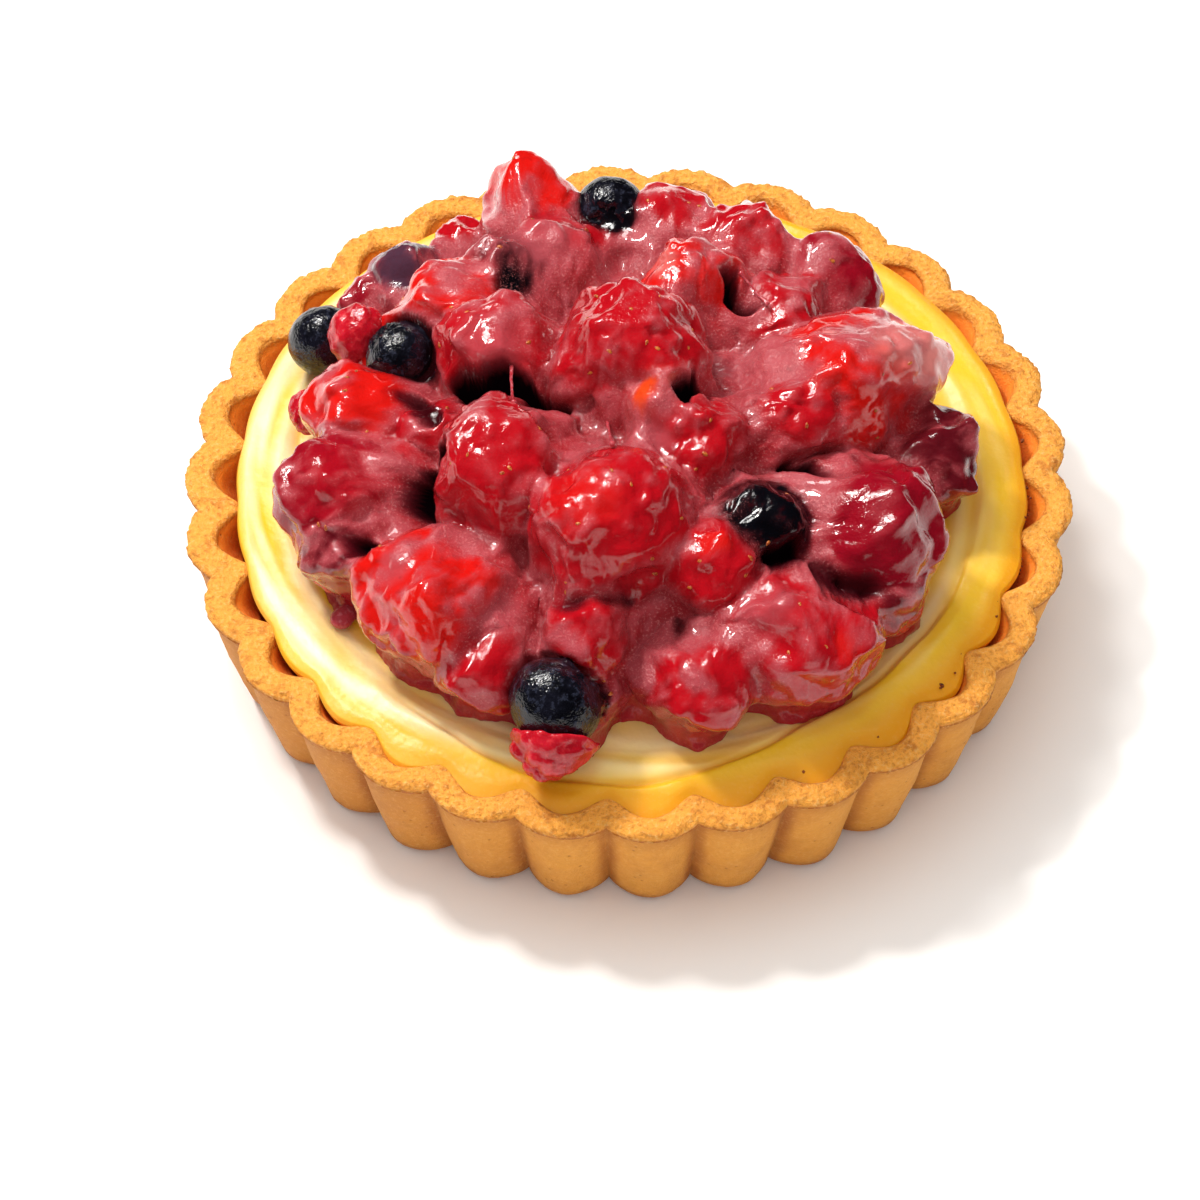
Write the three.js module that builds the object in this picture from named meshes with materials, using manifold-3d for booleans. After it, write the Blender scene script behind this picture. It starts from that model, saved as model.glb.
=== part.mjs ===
// A berry tart: a fluted shortcrust shell, a custard filling and a heap of berries bound by a thick compote.
// Millimetres, +Z up. The origin is the centre of the flat base, on the surface that the tart stands on.
import * as THREE from 'three';
import { mergeVertices } from 'three/addons/utils/BufferGeometryUtils.js';
import Module from 'manifold-3d';

const wasm = await Module();
wasm.setup();

// ---- Driving dimensions ---------------------------------------------------------------------------

const GAP = 0.3;               // clearance between two pieces that touch
const RIM_RADIUS = 59;         // outermost point of a flute, at the rim
const HEIGHT = 20.5;           // base to the top of the rim
const FLUTES = 30;
const FIRST_VALLEY = -117.2;   // direction of one valley between flutes, in degrees from +X
const LIP = 1.1;               // depth of the browned lip round the rim
const FLOOR = 12.5;            // top of the shell's baked inside
const CUSTARD_RADIUS = 51;
const CUSTARD_TOP = 22.2;      // custard's height under the berries
const CUSTARD_SWELL = 3;       // how far the custard swells into the shell's hollows at the front
const SWELL_SIDE = -80;        // direction in which it swells most, in degrees from +X
const DRAWN_SIDE = 188;        // direction in which custard and inner rim are drawn in most, likewise
const DRAWN_IN = 0.9;          // how far they are drawn in there
const HEAP_CENTRE = new THREE.Vector3(0, -2, 19);
const HEAP_RADIUS = 46;
const BERRY_LIMIT = 53;        // how far out a berry may lie, less three quarters of its size
const HEAP_RISE = 16;          // how much higher the berries lie at the middle than at the edge
const EDGE_LEVEL = 23.5;       // height of a berry's centre at the edge of the heap

const SIDES_PER_FLUTE = 4;
const CUSTARD_SIDES = 60;
const COMPOTE_SIDES = 50;
const COMPOTE_ROWS = 13;

const radians = THREE.MathUtils.degToRad;

// ---- Colours ---------------------------------------------------------------------------------------

const finish = (color, roughness) => new THREE.MeshStandardMaterial({ color, roughness, metalness: 0 });
const CRUST = finish(0xd9974a, 0.85);
const CUSTARD = finish(0xf6d64a, 0.4);
const COMPOTE = finish(0xa32a35, 0.2);
const BERRY_FINISH = {
  blueberry: finish(0x23202f, 0.3),
  raspberry: finish(0x9c1628, 0.25),
  strawberry: finish(0xc41f24, 0.22),
  tip: finish(0xd02a26, 0.22),
  chunk: finish(0xc8383c, 0.22),
};

// ---- Skins and solids ------------------------------------------------------------------------------

// A closed skin over a grid. Row 0 and the last row are poles; every row between them goes once round,
// anticlockwise seen from the last row's end, so that the faces point out.
function closedSkin(rows, sides, pointAt) {
  const corners = [];
  const faces = [];
  for (let row = 1; row < rows; row++) {
    for (let side = 0; side < sides; side++) corners.push(...pointAt(row, side));
  }
  const first = corners.length / 3;
  corners.push(...pointAt(0, 0), ...pointAt(rows, 0));
  const at = (row, side) => (row - 1) * sides + (side % sides);
  for (let side = 0; side < sides; side++) {
    faces.push(first, at(1, side + 1), at(1, side));
    for (let row = 1; row < rows - 1; row++) {
      const [a, b] = [at(row, side), at(row, side + 1)];
      const [c, d] = [at(row + 1, side + 1), at(row + 1, side)];
      faces.push(a, b, c, a, c, d);
    }
    faces.push(first + 1, at(rows - 1, side), at(rows - 1, side + 1));
  }
  const skin = new THREE.BufferGeometry();
  skin.setAttribute('position', new THREE.Float32BufferAttribute(corners, 3));
  skin.setIndex(faces);
  return skin;
}

// A closed geometry as a solid that can be joined and cut.
function solidOf(geometry) {
  const bare = new THREE.BufferGeometry();
  bare.setAttribute('position', geometry.getAttribute('position').clone());
  bare.setIndex(geometry.index);
  const merged = mergeVertices(bare, 1e-4);
  return new wasm.Manifold(new wasm.Mesh({
    numProp: 3,
    vertProperties: merged.attributes.position.array,
    triVerts: new Uint32Array(merged.index.array),
  }));
}

// The largest piece of a solid, as a geometry.
function geometryOf(solid) {
  const largest = solid.decompose().sort((a, b) => b.volume() - a.volume())[0];
  const mesh = largest.getMesh();
  const geometry = new THREE.BufferGeometry();
  geometry.setAttribute('position', new THREE.BufferAttribute(mesh.vertProperties, 3));
  geometry.setIndex(new THREE.BufferAttribute(mesh.triVerts, 1));
  return geometry;
}

function named(name, geometry, material) {
  const mesh = new THREE.Mesh(geometry, material);
  mesh.name = name;
  return mesh;
}

// ---- Shell -----------------------------------------------------------------------------------------

// How far round its flute a direction lies, as a wave: 0 in a valley, 1 at a flute's crown. A power
// under 1 makes full round flutes with sharp valleys, and one over 1 makes blunter valleys.
function fluteWave(angle, power) {
  const turns = (angle - radians(FIRST_VALLEY)) / (2 * Math.PI);
  return Math.abs(Math.sin(Math.PI * FLUTES * turns)) ** power;
}

// How far the custard and the shell's inner rim are drawn in at a direction.
function drawnIn(angle) {
  return DRAWN_IN * Math.exp(5.4 * (Math.cos(angle - radians(DRAWN_SIDE)) - 1));
}

// The shell's section, from the centre of the base, out and up the wall, over the lip and down inside.
// Each point has its height, and its radius in a valley and at a flute's crown. The blunt ones are the
// inner rim's.
const SHARP = 0.8;
const BLUNT = 1.1;
const SHELL_SECTION = [
  { z: 0, valley: 48.6, crown: 51.2, power: SHARP },
  { z: 1.2, valley: 50.2, crown: 53.6, power: SHARP },
  { z: 10, valley: 53.2, crown: 56.2, power: SHARP },
  { z: HEIGHT - LIP - 0.4, valley: 56.1, crown: 58.3, power: SHARP },
  { z: HEIGHT - LIP, valley: 56.9, crown: RIM_RADIUS, power: SHARP },
  { z: HEIGHT - 0.3, valley: 56.8, crown: 58.9, power: SHARP },
  { z: HEIGHT, valley: 55.6, crown: 57.8, power: SHARP },
  { z: HEIGHT, valley: 52.5, crown: 55.7, power: BLUNT },
  { z: HEIGHT - 0.6, valley: 51.7, crown: 55, power: BLUNT },
  { z: HEIGHT - 1.5, valley: 51.4, crown: 54.4, power: BLUNT },
  { z: FLOOR, valley: 50.9, crown: 51.3, power: BLUNT },
];

function shellGeometry() {
  const sides = FLUTES * SIDES_PER_FLUTE;
  const last = SHELL_SECTION.length + 1;
  return closedSkin(last, sides, (row, side) => {
    if (row === 0) return [0, 0, 0];
    if (row === last) return [0, 0, FLOOR];
    const { z, valley, crown, power } = SHELL_SECTION[row - 1];
    const angle = radians(FIRST_VALLEY) + (2 * Math.PI * side) / sides;
    const wave = fluteWave(angle, power);
    const drawn = power === BLUNT ? (1 - 0.45 * wave) * drawnIn(angle) : 0;
    const radius = valley + (crown - valley) * wave - drawn;
    return [radius * Math.cos(angle), radius * Math.sin(angle), z];
  });
}

// ---- Custard ---------------------------------------------------------------------------------------

// The custard's section from its shoulder to its middle: share of the radius, depth under its top, and
// shares of the swell and of the slope down to the front.
const CUSTARD_SECTION = [
  { share: 0.988, drop: CUSTARD_TOP - FLOOR - GAP, swell: 0, slope: 0 },
  { share: 1, drop: 2.6, swell: 0.75, slope: 1 },
  { share: 1.007, drop: 1.6, swell: 0.9, slope: 1 },
  { share: 1.003, drop: 0.95, swell: 0.9, slope: 1 },
  { share: 0.985, drop: 0.5, swell: 0.6, slope: 0.8 },
  { share: 0.95, drop: 0.25, swell: 0.2, slope: 0.25 },
  { share: 0.915, drop: 0.2, swell: 0, slope: 0 },
  { share: 0.885, drop: 0.6, swell: 0, slope: 0 },
  { share: 0.84, drop: 0.3, swell: 0, slope: 0 },
  { share: 0.5, drop: 0, swell: 0, slope: 0 },
];

// Height of the custard's top at a distance from the axis.
function custardTop(radius) {
  const share = radius / CUSTARD_RADIUS;
  const top = CUSTARD_SECTION.slice(1);
  for (let i = 0; i < top.length - 1; i++) {
    const [outer, inner] = [top[i], top[i + 1]];
    if (share >= inner.share) {
      const mix = (Math.min(share, outer.share) - inner.share) / (outer.share - inner.share);
      return CUSTARD_TOP - inner.drop - mix * (outer.drop - inner.drop);
    }
  }
  return CUSTARD_TOP;
}

// How far a direction faces the front: 1 there, and 0 from its sides to the back.
function towardsFront(angle) {
  return Math.max(0, Math.cos(angle - radians(SWELL_SIDE)));
}

// The custard's edge runs nearly straight from one inner ridge of the shell to the next, and swells
// into the hollows between them on its front side.
function custardSwell(angle) {
  return CUSTARD_SWELL * (0.12 + 0.88 * towardsFront(angle) ** 2) * fluteWave(angle, BLUNT);
}

// How far the custard's edge lies under its plain section: it slopes down to the front and its swells.
function custardSlope(angle) {
  return 0.8 * towardsFront(angle) + 0.3 * custardSwell(angle);
}

function custardGeometry(lift = 0) {
  const last = CUSTARD_SECTION.length + 1;
  return closedSkin(last, CUSTARD_SIDES, (row, side) => {
    if (row === 0) return [0, 0, FLOOR + GAP];
    if (row === last) return [0, 0, CUSTARD_TOP + lift];
    const { share, drop, swell, slope } = CUSTARD_SECTION[row - 1];
    const angle = radians(FIRST_VALLEY) + (2 * Math.PI * side) / CUSTARD_SIDES;
    const uneven = 0.1 * Math.sin(3 * angle + 0.6) + 0.05 * Math.sin(7 * angle + 2.1);
    const plain = CUSTARD_RADIUS - 0.15 + uneven - drawnIn(angle) + lift;
    const radius = share * plain + swell * custardSwell(angle);
    const height = CUSTARD_TOP - drop - slope * custardSlope(angle) + (row > 1 ? lift : 0);
    return [radius * Math.cos(angle), radius * Math.sin(angle), height];
  });
}

// ---- Berries ---------------------------------------------------------------------------------------

// Form of each kind: semi-axes as shares of the berry's size, how boxy it is (2 is an ellipsoid), how
// much it narrows towards its tip, and the depth of a dimple at its tip.
const FORMS = {
  blueberry: { axes: [1, 1, 0.9], boxy: 2, taper: 0, dimple: 0.1 },
  raspberry: { axes: [0.96, 0.92, 1.08], boxy: 2.2, taper: 0.12, dimple: 0 },
  strawberry: { axes: [1, 0.94, 1.12], boxy: 2.2, taper: 0.2, dimple: 0 },
  tip: { axes: [0.95, 0.85, 1.25], boxy: 1.9, taper: 0.3, dimple: 0 },
  chunk: { axes: [1.12, 0.92, 0.86], boxy: 3, taper: 0.08, dimple: 0 },
};

const PREFIX = { chunk: 'strawberry_piece', tip: 'strawberry_tip' };

// Every berry and piece of fruit: kind, name, centre along X and Y, size, lift from the heap's level,
// and its turn about Z and lean from upright, in degrees.
const BERRIES = [
  ['blueberry', 'front', -9.5, -44, 6.2, 1.5, 40, 60],
  ['blueberry', 'right', 17, -20.5, 6, -0.5, 200, 30],
  ['blueberry', 'left', -30.5, 9.5, 4.7, 1, 150, 50],
  ['blueberry', 'far_left', -40, 20, 5, 2, 100, 80],
  ['blueberry', 'back_left', -29, 30, 4.4, 1, 20, 40],
  ['blueberry', 'upper', -15.5, 24, 4.6, 1.5, 300, 35],
  ['blueberry', 'back', -2, 38, 4.8, 2.5, 260, 50],
  ['raspberry', 'front', -9.2, -48.8, 5.2, -3, 0, 70],
  ['raspberry', 'far_left', -35.5, 16, 4, 3, 60, 40],
  ['raspberry', 'left_edge', -42.5, 8, 2.6, -1, 90, 80],
  ['raspberry', 'left_inner', -26.5, -2, 3.6, -1, 30, 20],
  ['raspberry', 'left', -38.5, -11, 7, 2, 240, 70],
  ['raspberry', 'left_front', -36.5, -19, 5.4, -1, 320, 60],
  ['raspberry', 'back_edge', -23, 39, 3.6, 1, 200, 60],
  ['raspberry', 'back_left', -36, 28, 3.4, 2, 30, 50],
  ['raspberry', 'centre', 0.5, 5.5, 9, 2, 170, 25],
  ['raspberry', 'back', 16, 32, 6, 1, 140, 50],
  ['raspberry', 'back_right', 27.5, 27, 5.6, 1, 120, 40],
  ['raspberry', 'right_edge', 41, -2.5, 5.6, -1, 80, 75],
  ['raspberry', 'right', 32.5, -18.5, 8.2, 1, 60, 65],
  ['raspberry', 'right_under', 34, -25, 5.4, -3, 45, 80],
  ['tip', 'back', -13, 40, 5.4, 8, 130, 10],
  ['strawberry', 'centre', -4.5, -23.5, 8.8, 3, 200, 70],
  ['strawberry', 'centre_left', -17, -12.5, 7.6, 3, 110, 60],
  ['chunk', 'upper_left', -23, 18.5, 6.8, 1, 25, 15],
  ['chunk', 'left', -36, 2.5, 5.4, 1, 140, 20],
  ['chunk', 'slip', 5.5, -4, 3.4, 2, 70, 60],
  ['chunk', 'back', 9, 20, 6.6, 0.5, 10, 25],
  ['chunk', 'ridge', 6.5, 37, 5, 2, 40, 20],
  ['chunk', 'right', 29, 4.5, 8.2, 2, 110, 20],
  ['chunk', 'right_cut', 35.5, 9, 6, 4, 60, 35],
  ['chunk', 'right_bit', 23, -3.5, 4.2, 2.5, 45, 30],
  ['chunk', 'back_right', 21.5, 17, 5, 0, 80, 20],
  ['chunk', 'front_right', 23, -35.5, 8, 2, 25, 15],
  ['chunk', 'front_bit', 9, -43, 5.2, 1, 150, 25],
  ['chunk', 'chip', 10, -27, 4.8, 1, 100, 30],
  ['chunk', 'centre_right', 9.5, -8, 5.4, 0.5, 30, 35],
  ['chunk', 'front_left', -26, -29.5, 8, 1, 130, 20],
  ['chunk', 'front_middle', -5.5, -35.5, 4.4, 0, 90, 40],
  ['chunk', 'left_front', -19, -38, 5.2, -1, 160, 20],
  ['chunk', 'upper', -9, 30.5, 5.6, 0, 60, 20],
  ['chunk', 'middle_left', -16.5, 9, 6.6, 1, 35, 20],
];

// Soft pieces that lie pressed against their neighbours, which leave their form in them.
const PRESSED = [
  'raspberry_front', 'raspberry_far_left', 'raspberry_left_edge', 'raspberry_left_front',
  'raspberry_right_under', 'strawberry_piece_slip', 'strawberry_piece_right_cut',
  'strawberry_piece_right_bit', 'strawberry_piece_left_front', 'strawberry_piece_chip',
  'strawberry_piece_upper_left', 'strawberry_piece_upper', 'strawberry_piece_ridge',
];

// Hollows between the berries that the compote hasn't run into: centre along X and Y, radius, and depth
// of its centre under the heap's level.
const HOLLOWS = [
  [-18, 1, 3.4, 1], [-14, -1, 2.4, 0], [-26.5, -13, 4, 1], [15, 22.5, 3, 1], [8.5, 0, 3, 0],
  [26, -10, 3.4, 0], [-32, -18, 2.8, 2], [-29, 4, 3, 2], [18, -25, 3, 3],
];

// Height at which the centre of a berry lies: highest at the middle of the heap, low round its edge.
function heapLevel(x, y) {
  const share = Math.hypot(x - HEAP_CENTRE.x, y - HEAP_CENTRE.y) / HEAP_RADIUS;
  return EDGE_LEVEL + HEAP_RISE * Math.max(0, 1 - share * share) ** 0.6;
}

// Distance from a berry's centre to its surface along a direction in the berry's own frame.
function ownReach(berry, direction) {
  const { axes, boxy, taper, dimple } = FORMS[berry.kind];
  const along = direction.z;
  const spread = direction.toArray().reduce((sum, d, i) => sum + Math.abs(d / axes[i]) ** boxy, 0);
  const tipped = Math.max(0, along - 0.85) / 0.15;
  return berry.size * spread ** (-1 / boxy) * (1 - taper * along) * (1 - dimple * tipped);
}

// The same along a direction of the tart.
function reach(berry, direction) {
  return ownReach(berry, direction.clone().applyQuaternion(berry.spin.clone().invert()));
}

// Moves two berries that touch apart by a small step, the smaller one most.
function easeApart(a, b) {
  const way = b.centre.clone().sub(a.centre);
  const apart = way.length();
  if (apart > 2.6 * Math.max(a.size, b.size)) return;
  way.normalize();
  const short = reach(a, way) + reach(b, way.clone().negate()) + 1.6 * GAP - apart;
  if (short <= 0) return;
  const share = b.size ** 3 / (a.size ** 3 + b.size ** 3);
  a.centre.addScaledVector(way, -short * share * 0.6);
  b.centre.addScaledVector(way, short * (1 - share) * 0.6);
}

// Keeps a berry above the custard and inside the shell.
function settle(berry) {
  const fromAxis = Math.hypot(berry.centre.x, berry.centre.y);
  const below = reach(berry, new THREE.Vector3(0, 0, -1));
  const lowest = custardTop(Math.max(0, fromAxis - 0.5 * berry.size)) + below + GAP + 0.2;
  berry.centre.z = Math.max(berry.centre.z, lowest);
  const limit = BERRY_LIMIT - 0.75 * berry.size;
  if (fromAxis > limit) berry.centre.multiply(new THREE.Vector3(limit / fromAxis, limit / fromAxis, 1));
}

// Lays the berries on the heap and eases those that touch apart.
function heapedBerries() {
  const berries = BERRIES.map(([kind, place, x, y, size, lift, turn, lean]) => ({
    kind,
    name: `${PREFIX[kind] ?? kind}_${place}`,
    size,
    spin: new THREE.Quaternion().setFromEuler(new THREE.Euler(0, radians(lean), radians(turn), 'ZYX')),
    centre: new THREE.Vector3(x, y, heapLevel(x, y) + lift),
  }));
  const firm = berries.filter((berry) => !PRESSED.includes(berry.name));
  for (let pass = 0; pass < 80; pass++) {
    firm.forEach((a, i) => firm.slice(i + 1).forEach((b) => easeApart(a, b)));
    berries.forEach(settle);
  }
  return berries;
}

// A berry's skin round its own centre, grown by a margin.
function berryGeometry(berry, margin = 0) {
  const sides = berry.size > 6.2 ? 10 : 8;
  const rows = berry.size > 4 ? 6 : 5;
  return closedSkin(rows, sides, (row, side) => {
    const polar = Math.PI * (row / rows - 0.5);
    const around = (2 * Math.PI * side) / sides;
    const direction = new THREE.Vector3(
      Math.cos(polar) * Math.cos(around), Math.cos(polar) * Math.sin(around), Math.sin(polar));
    return direction.clone().multiplyScalar(ownReach(berry, direction) + margin).toArray();
  });
}

// A berry's solid where it lies.
function berrySolid(berry, margin = 0) {
  const place = new THREE.Matrix4().compose(berry.centre, berry.spin, new THREE.Vector3(1, 1, 1));
  return solidOf(berryGeometry(berry, margin).applyMatrix4(place));
}

function berryMesh(berry) {
  const mesh = named(berry.name, berryGeometry(berry), BERRY_FINISH[berry.kind]);
  mesh.position.copy(berry.centre);
  mesh.quaternion.copy(berry.spin);
  return mesh;
}

// A soft piece, less the room of every berry that it lies against.
function pressedMesh(berry, neighbours) {
  let solid = berrySolid(berry);
  for (const other of neighbours) {
    if (other.centre.distanceTo(berry.centre) > 1.4 * (other.size + berry.size)) continue;
    solid = solid.subtract(berrySolid(other, GAP));
  }
  return named(berry.name, geometryOf(solid), BERRY_FINISH[berry.kind]);
}

// The firm berries as they are, and each soft piece shaped by them and by the soft pieces before it.
function berryMeshes(berries) {
  return berries.map((berry, i) => {
    if (!PRESSED.includes(berry.name)) return berryMesh(berry);
    const before = berries.filter((other, j) => j < i || !PRESSED.includes(other.name));
    return pressedMesh(berry, before.filter((other) => other !== berry));
  });
}

// ---- Compote ---------------------------------------------------------------------------------------

const CROWN = new THREE.Vector3(0.5, 4.5, 19);  // under the highest berry
const BED = new THREE.Vector3(41, 40.5, 18.5);  // semi-axes of the mound under the berries
const CLING = 1.8;                              // how widely the compote fills the gaps between berries
const BARE = 2.2;                               // how far a berry's top stands out of the compote
const FEET = 34;                                // how far out the lowest rays start that find its surface

// Distance from a point to an upright ellipsoid, close enough near its surface.
function toEllipsoid(point, centre, axes) {
  const scaled = point.clone().sub(centre).divide(axes);
  return (scaled.length() - 1) * Math.min(axes.x, axes.y, axes.z);
}

// Distance from a point to the compote: the mound and a rounded pillar under each berry run together
// softly, less the hollows.
function compoteDistance(point, berries) {
  let sum = Math.exp(-toEllipsoid(point, HEAP_CENTRE, BED) / CLING);
  for (const { centre, size } of berries) {
    const above = Math.max(0, point.z - centre.z);
    const away = Math.hypot(point.x - centre.x, point.y - centre.y, above) - size + BARE;
    if (away < 6 * CLING) sum += Math.exp(-away / CLING);
  }
  let distance = -CLING * Math.log(sum);
  for (const [x, y, radius, depth] of HOLLOWS) {
    const middle = new THREE.Vector3(x, y, heapLevel(x, y) - depth);
    distance = Math.max(distance, radius - point.distanceTo(middle));
  }
  return distance;
}

// The compote's surface, found by stepping in from outside along rays that lean out more and more
// from the top of the heap to its foot.
function compoteGeometry(berries) {
  return closedSkin(COMPOTE_ROWS, COMPOTE_SIDES, (row, side) => {
    if (row === 0) return [HEAP_CENTRE.x, HEAP_CENTRE.y, HEAP_CENTRE.z - 4];
    const outward = 1 - (row - 1) / (COMPOTE_ROWS - 1);
    const around = (2 * Math.PI * side) / COMPOTE_SIDES;
    const lean = radians(90) * outward;
    const foot = new THREE.Vector3(Math.cos(around), Math.sin(around), 0).multiplyScalar(FEET * outward);
    const way = new THREE.Vector3(
      Math.sin(lean) * Math.cos(around), Math.sin(lean) * Math.sin(around), Math.cos(lean));
    const start = CROWN.clone().lerp(HEAP_CENTRE, outward).add(foot);
    let along = 34;
    for (let step = 0; step < 60; step++) {
      along -= 0.8 * compoteDistance(start.clone().addScaledVector(way, along), berries);
    }
    return start.addScaledVector(way, along).toArray();
  });
}

// The compote lies on the custard and goes round every berry.
function compoteSolid(berries) {
  const heap = solidOf(compoteGeometry(berries)).subtract(solidOf(custardGeometry(GAP)));
  return berries.reduce((solid, berry) => solid.subtract(berrySolid(berry, GAP)), heap);
}

// ---- The tart --------------------------------------------------------------------------------------

const tart = new THREE.Group();
const berries = heapedBerries();
tart.add(named('shell', shellGeometry(), CRUST));
tart.add(named('custard', custardGeometry(), CUSTARD));
tart.add(named('compote', geometryOf(compoteSolid(berries)), COMPOTE));
tart.add(...berryMeshes(berries));

export default tart;
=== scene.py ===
"""Dresses the berry tart: baked shell, custard, and a glazed heap of berries on a pale floor.

Shapes are worked out in millimetres and put into their meshes in metres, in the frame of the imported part.
"""

import logging
import math
from dataclasses import dataclass, field
from enum import Enum
from itertools import product

import bpy
import numpy as np
from mathutils import Matrix, Vector

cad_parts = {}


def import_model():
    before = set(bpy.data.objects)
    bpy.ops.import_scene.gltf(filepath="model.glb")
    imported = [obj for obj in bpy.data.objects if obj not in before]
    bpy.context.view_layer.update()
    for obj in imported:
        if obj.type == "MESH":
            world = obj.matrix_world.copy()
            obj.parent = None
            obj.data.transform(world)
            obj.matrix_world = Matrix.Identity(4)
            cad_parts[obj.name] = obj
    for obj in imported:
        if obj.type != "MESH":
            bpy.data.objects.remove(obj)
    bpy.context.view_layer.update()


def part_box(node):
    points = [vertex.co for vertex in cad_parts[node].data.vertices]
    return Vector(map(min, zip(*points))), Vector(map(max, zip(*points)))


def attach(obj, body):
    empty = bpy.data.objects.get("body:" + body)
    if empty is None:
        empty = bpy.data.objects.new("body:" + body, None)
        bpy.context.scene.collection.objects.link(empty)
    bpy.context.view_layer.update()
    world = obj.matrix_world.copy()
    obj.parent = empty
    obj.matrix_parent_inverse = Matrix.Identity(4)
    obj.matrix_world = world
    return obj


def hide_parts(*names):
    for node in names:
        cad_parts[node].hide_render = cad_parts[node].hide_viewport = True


LOG = logging.getLogger("berry_tart")
Array = np.ndarray
Colour = tuple[float, float, float, float]
Triple = tuple[float, float, float]
MM = 0.001
UP = np.array([0.0, 0.0, 1.0])

# ---- The part's own measures, in millimetres and radians ------------------------------------------

GAP = 0.3  # Between neighbouring solids.
HEIGHT = 20.5  # Of the shell.
RIM_REACH = 58.9  # The shell's furthest reach from the axis.
FLOOR = 12.5  # Height of the shell's floor under the custard.
FLUTES = 30
FIRST_VALLEY = math.radians(-117.2)  # Direction of a valley between flutes.
DRAWN_SIDE = math.radians(188.0)  # Where the custard and the inner rim are drawn in most.
DRAWN_IN = 0.9
CUSTARD_RADIUS = 51.0
CUSTARD_TOP = 22.2
CUSTARD_SWELL = 3.0  # How far the custard swells into the flutes.
SWELL_SIDE = math.radians(-80.0)  # Where it swells most.
BERRY_LIMIT = 53.0  # How far from the axis a pressed berry reaches.
HEAP_TOP = 49.7  # Nothing stands higher.
HEAP_CENTRE = np.array([0.0, -2.0, 19.0])
HEAP_RADIUS = 46.0
HEAP_RISE = 16.0
EDGE_LEVEL = 23.5  # Height of the berries' centres at the heap's edge.
BED = np.array([41.0, 40.5, 18.5])  # Half widths and height of the compote's mound.
CLING = 1.8  # How far round its pillars and the mound run together.
BARE = 2.2  # How far a bare berry's pillar stays under its skin.
BARE_FILM = -0.35  # A berry with less film lies bare.
COVERING_FILM = -0.4  # The glaze is drawn clear of a berry with less film.


def flute_wave(angle: Array, power: float | Array, blunt: float | Array = 0.0) -> Array:
    """How far round its flute a direction lies: 0 in a valley, 1 at a crown.

    The formula is the size of sin(half of FLUTES times the angle from the first valley), s, to a power.
    A blunt valley takes (root(s^2 + blunt^2) - blunt) / (root(1 + blunt^2) - blunt) for s.

    Args:
        angle: Directions from +X, in radians.
        power: Under 1 for full flutes with sharp valleys, over 1 for round valleys.
        blunt: How much the valley is rounded.

    Returns:
        The wave's height for each direction, 0 to 1.
    """
    size = np.sin(0.5 * FLUTES * (angle - FIRST_VALLEY)) ** 2
    size = (np.sqrt(size + blunt**2) - blunt) / (np.sqrt(1.0 + blunt**2) - blunt)
    return size**power


def drawn_in(angle: Array) -> Array:
    """How far the custard and the shell's inner rim are drawn in: DRAWN_IN exp(5.4 (cos - 1)) from DRAWN_SIDE."""
    return DRAWN_IN * np.exp(5.4 * (np.cos(angle - DRAWN_SIDE) - 1.0))


def heap_level(x: Array, y: Array) -> Array:
    """Height of a berry's centre: edge level plus rise times (1 - share of the heap's radius squared) ^ 0.6."""
    share = np.hypot(x - HEAP_CENTRE[0], y - HEAP_CENTRE[1]) / HEAP_RADIUS
    return EDGE_LEVEL + HEAP_RISE * np.maximum(0.0, 1.0 - share * share) ** 0.6


def smooth_step(value: Array, low: float, high: float) -> Array:
    """0 at low, 1 at high, and 3t^2 - 2t^3 between them; low may be above high."""
    t = np.clip((value - low) / (high - low), 0.0, 1.0)
    return t * t * (3.0 - 2.0 * t)


def hump(value: Array, middle: float | Array, width: float) -> Array:
    """1 at the middle, falling off to both sides as exp(-((value - middle) / width)^2)."""
    return np.exp(-(((value - middle) / width) ** 2))


def run_together(one: Array, other: Array, cling: float) -> Array:
    """The lesser of two distances, rounded where they meet: -cling log(exp(-one/cling) + exp(-other/cling))."""
    return -cling * np.log(np.exp(-one / cling) + np.exp(-other / cling))


def four_mean(grid: Array) -> Array:
    """The mean of the four neighbours of each inner place of a grid."""
    return (grid[:-2, 1:-1] + grid[2:, 1:-1] + grid[1:-1, :-2] + grid[1:-1, 2:]) / 4


def unit(vectors: Array) -> Array:
    """Vectors divided by their lengths."""
    return vectors / np.maximum(np.linalg.norm(vectors, axis=-1, keepdims=True), 1e-9)


def round_axis(radius: Array | float, angle: Array | float, height: Array | float) -> Array:
    """Points at a distance from the upright axis, an angle from +X and a height."""
    return np.stack(np.broadcast_arrays(radius * np.cos(angle), radius * np.sin(angle), height), axis=-1)


# ---- Random fields -------------------------------------------------------------------------------


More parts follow.
